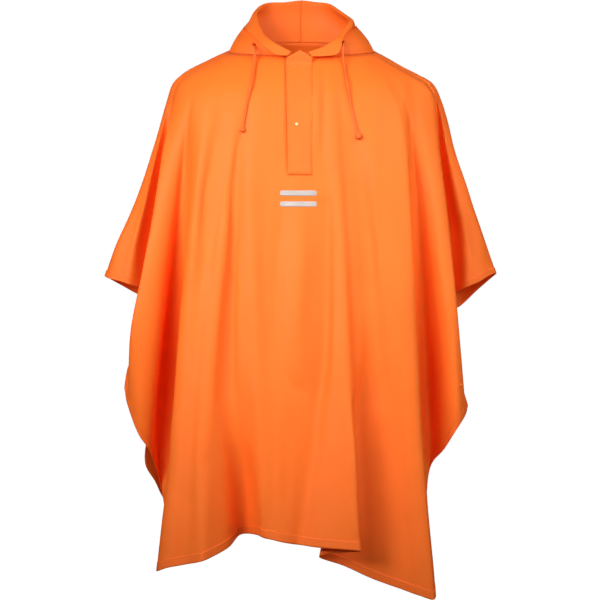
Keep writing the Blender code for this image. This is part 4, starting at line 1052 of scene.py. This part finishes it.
def wound_knot(name, start, along, out, radius, length, fullest):
    """A knot: full at `fullest` of its length, with the winding of the cord round it."""
    side = unit(np.cross(along, out))
    verts = []
    for k in range(KNOT_RINGS + 1):
        t = k / KNOT_RINGS
        if t < fullest:
            swell = 0.5 - 0.5 * math.cos(math.pi * t / fullest)
            wide = CORD_RADIUS * KNOT_START + (radius - CORD_RADIUS * KNOT_START) * swell
        else:
            wide = radius * math.sqrt(max(0.0, 1 - ((t - fullest) / (1 - fullest)) ** 2)) + 0.0001
        for angle, away in circle(side, out * KNOT_FLATNESS, KNOT_AROUND):
            phase = 2 * math.pi * t * length / WINDING - angle + 0.8 * math.sin(2 * angle)
            winding = 0.5 + 0.5 * math.cos(phase)
            verts.append(start + along * length * t + away * (wide * (1.0 - WINDING_DEPTH * winding ** 3)))
    return worn(name, verts, tube_faces(KNOT_RINGS, KNOT_AROUND), CORD)


hood_wall = Surface(hood[:wall_rows + 1], hood_normals[:wall_rows + 1])
for side in ("left", "right"):
    spot, facing = hood_wall.spot(*EYELETS[side])
    lathe("eyelet_rim_" + side, "eyelet_" + side, spot, facing, EYELET_PROFILE, RIM)
    start = spot + facing * RIM_HEIGHT
    route = [start] + [start + facing * out + np.array((0.0, 0.0, -down)) for out, down in CORD_LEAVES]
    for across, height, depth in CORD_ROUTES[side]:
        point = place(across, height, depth)
        if height > ON_CHEST:
            lying, out = chest.spot(across, height)
            point = lying + out * (CORD_RADIUS + CORD_CLEAR)
        route.append(point)
    fine = through_ring(np.array(route)[None], CORD_CUTS, closed=False)[0]
    path = resample(fine, fine, CORD_STEP)[0]
    cord = braided_tube("cord_" + side, path, CORD_RADIUS * BRAID_PROUD)
    stands_for(cord, "drawcord_" + side)
    # a stopper knot: the tucked end of the cord, wound round itself
    radius, length, fullest = KNOTS[side]
    lying, out = chest.spot(*CORD_ROUTES[side][-1][:2])
    hang = unit(path[-1] - path[-4])
    hang = unit(hang - out * np.dot(hang, out))
    knot = wound_knot("knot_" + side, path[-1] - hang * 0.002 + out * (radius - CORD_RADIUS) * 0.5,
                      hang, out, radius, length, fullest)
    stands_for(knot, "cord_knot_" + side)

# ---- camera
SENSOR = 36.0
PICTURE_WIDTH = 1.17          # metres across the picture at the poncho: 600 elevation units
camera_data = bpy.data.cameras.new("camera")
camera_data.sensor_width = SENSOR
camera_data.lens = SENSOR * EYE_DISTANCE / PICTURE_WIDTH
camera = bpy.data.objects.new("camera", camera_data)
camera.location = (0.0, -EYE_DISTANCE, -(EYE_HEIGHT - ORIGIN_HEIGHT) * UNIT)
camera.rotation_euler = (math.radians(90), 0.0, 0.0)
bpy.context.scene.collection.objects.link(camera)
bpy.context.scene.camera = camera


# ---- light
def area_light(name, degrees, rise, power, reach=2.4, aim=(0.0, -0.1, -0.36), spread=45.0):
    """A square softbox: its direction round and above the garment, seen from the front."""
    turn, lift = math.radians(degrees), math.radians(rise)
    target = Vector(aim)
    away = Vector((math.sin(turn) * math.cos(lift), -math.cos(turn) * math.cos(lift), math.sin(lift)))
    lamp = bpy.data.lights.new(name, "AREA")
    lamp.shape = "SQUARE"
    lamp.size = 0.9
    lamp.energy = power
    lamp.spread = math.radians(spread)
    obj = bpy.data.objects.new(name, lamp)
    obj.location = target + away * reach
    obj.rotation_euler = (-away).to_track_quat("-Z", "Y").to_euler()
    bpy.context.scene.collection.objects.link(obj)


area_light("left_low", -46, 15, 2.7)
area_light("left_mid", -26, 15, 2.1)
area_light("left_high", -43, 38, 1.3)
area_light("right_low", 26, 15, 1.55)
area_light("right_high", 45, 40, 1.6)
area_light("right_side", 65, 12, 1.1)
area_light("behind", 176, 8, 2.1, 3.2, (0.0, 0.0, -0.4))

world = bpy.data.worlds.new("studio")
bpy.context.scene.world = world
world.use_nodes = True
set_inputs(world.node_tree.nodes["Background"], Color=(1.0, 1.0, 1.0, 1.0), Strength=0.03)
bpy.context.scene.view_settings.view_transform = "Standard"


def pale(name, glow):
    """A matt white that glows evenly, for the studio."""
    mat, _, shader = node_material(name)
    set_inputs(shader, Base_Color=(0.8, 0.8, 0.8, 1.0), Roughness=0.9, Emission_Color=(1.0, 1.0, 1.0, 1.0),
               Emission_Strength=glow)
    return mat


def studio_surface(name, corners, faces, mat, lights_the_cloth=True):
    """A plain studio surface; one that is only seen adds no light of its own to the garment."""
    obj = mesh_object(name, corners, faces, mat, smooth=False)
    obj.visible_diffuse = obj.visible_glossy = obj.visible_transmission = lights_the_cloth


FLOOR = -1.5
WALL_RADIUS, WALL_SIDES = 9.0, 48
WALL_FOOT, WALL_TOP = FLOOR - 4.0, 6.0    # its foot is below the floor, so that the two meet in every view
QUAD = [(0, 1, 2, 3)]
studio_surface("floor", [(-4, -3, FLOOR), (4, -3, FLOOR), (4, 2.2, FLOOR), (-4, 2.2, FLOOR)], QUAD,
               pale("pale_floor", 0.6), False)
studio_surface("backdrop", [(-3, 7, -2.5), (3, 7, -2.5), (3, 7, 2.5), (-3, 7, 2.5)], QUAD,
               pale("white_backdrop", 1.0))
ring = [(math.cos(turn) * WALL_RADIUS, math.sin(turn) * WALL_RADIUS)
        for turn in (math.tau * step / WALL_SIDES for step in range(WALL_SIDES))]
studio_surface("wall", [(x, y, z) for z in (WALL_FOOT, WALL_TOP) for x, y in ring],
               [(k, (k + 1) % WALL_SIDES, WALL_SIDES + (k + 1) % WALL_SIDES, WALL_SIDES + k)
                for k in range(WALL_SIDES)],
               pale("pale_wall", 0.85), False)
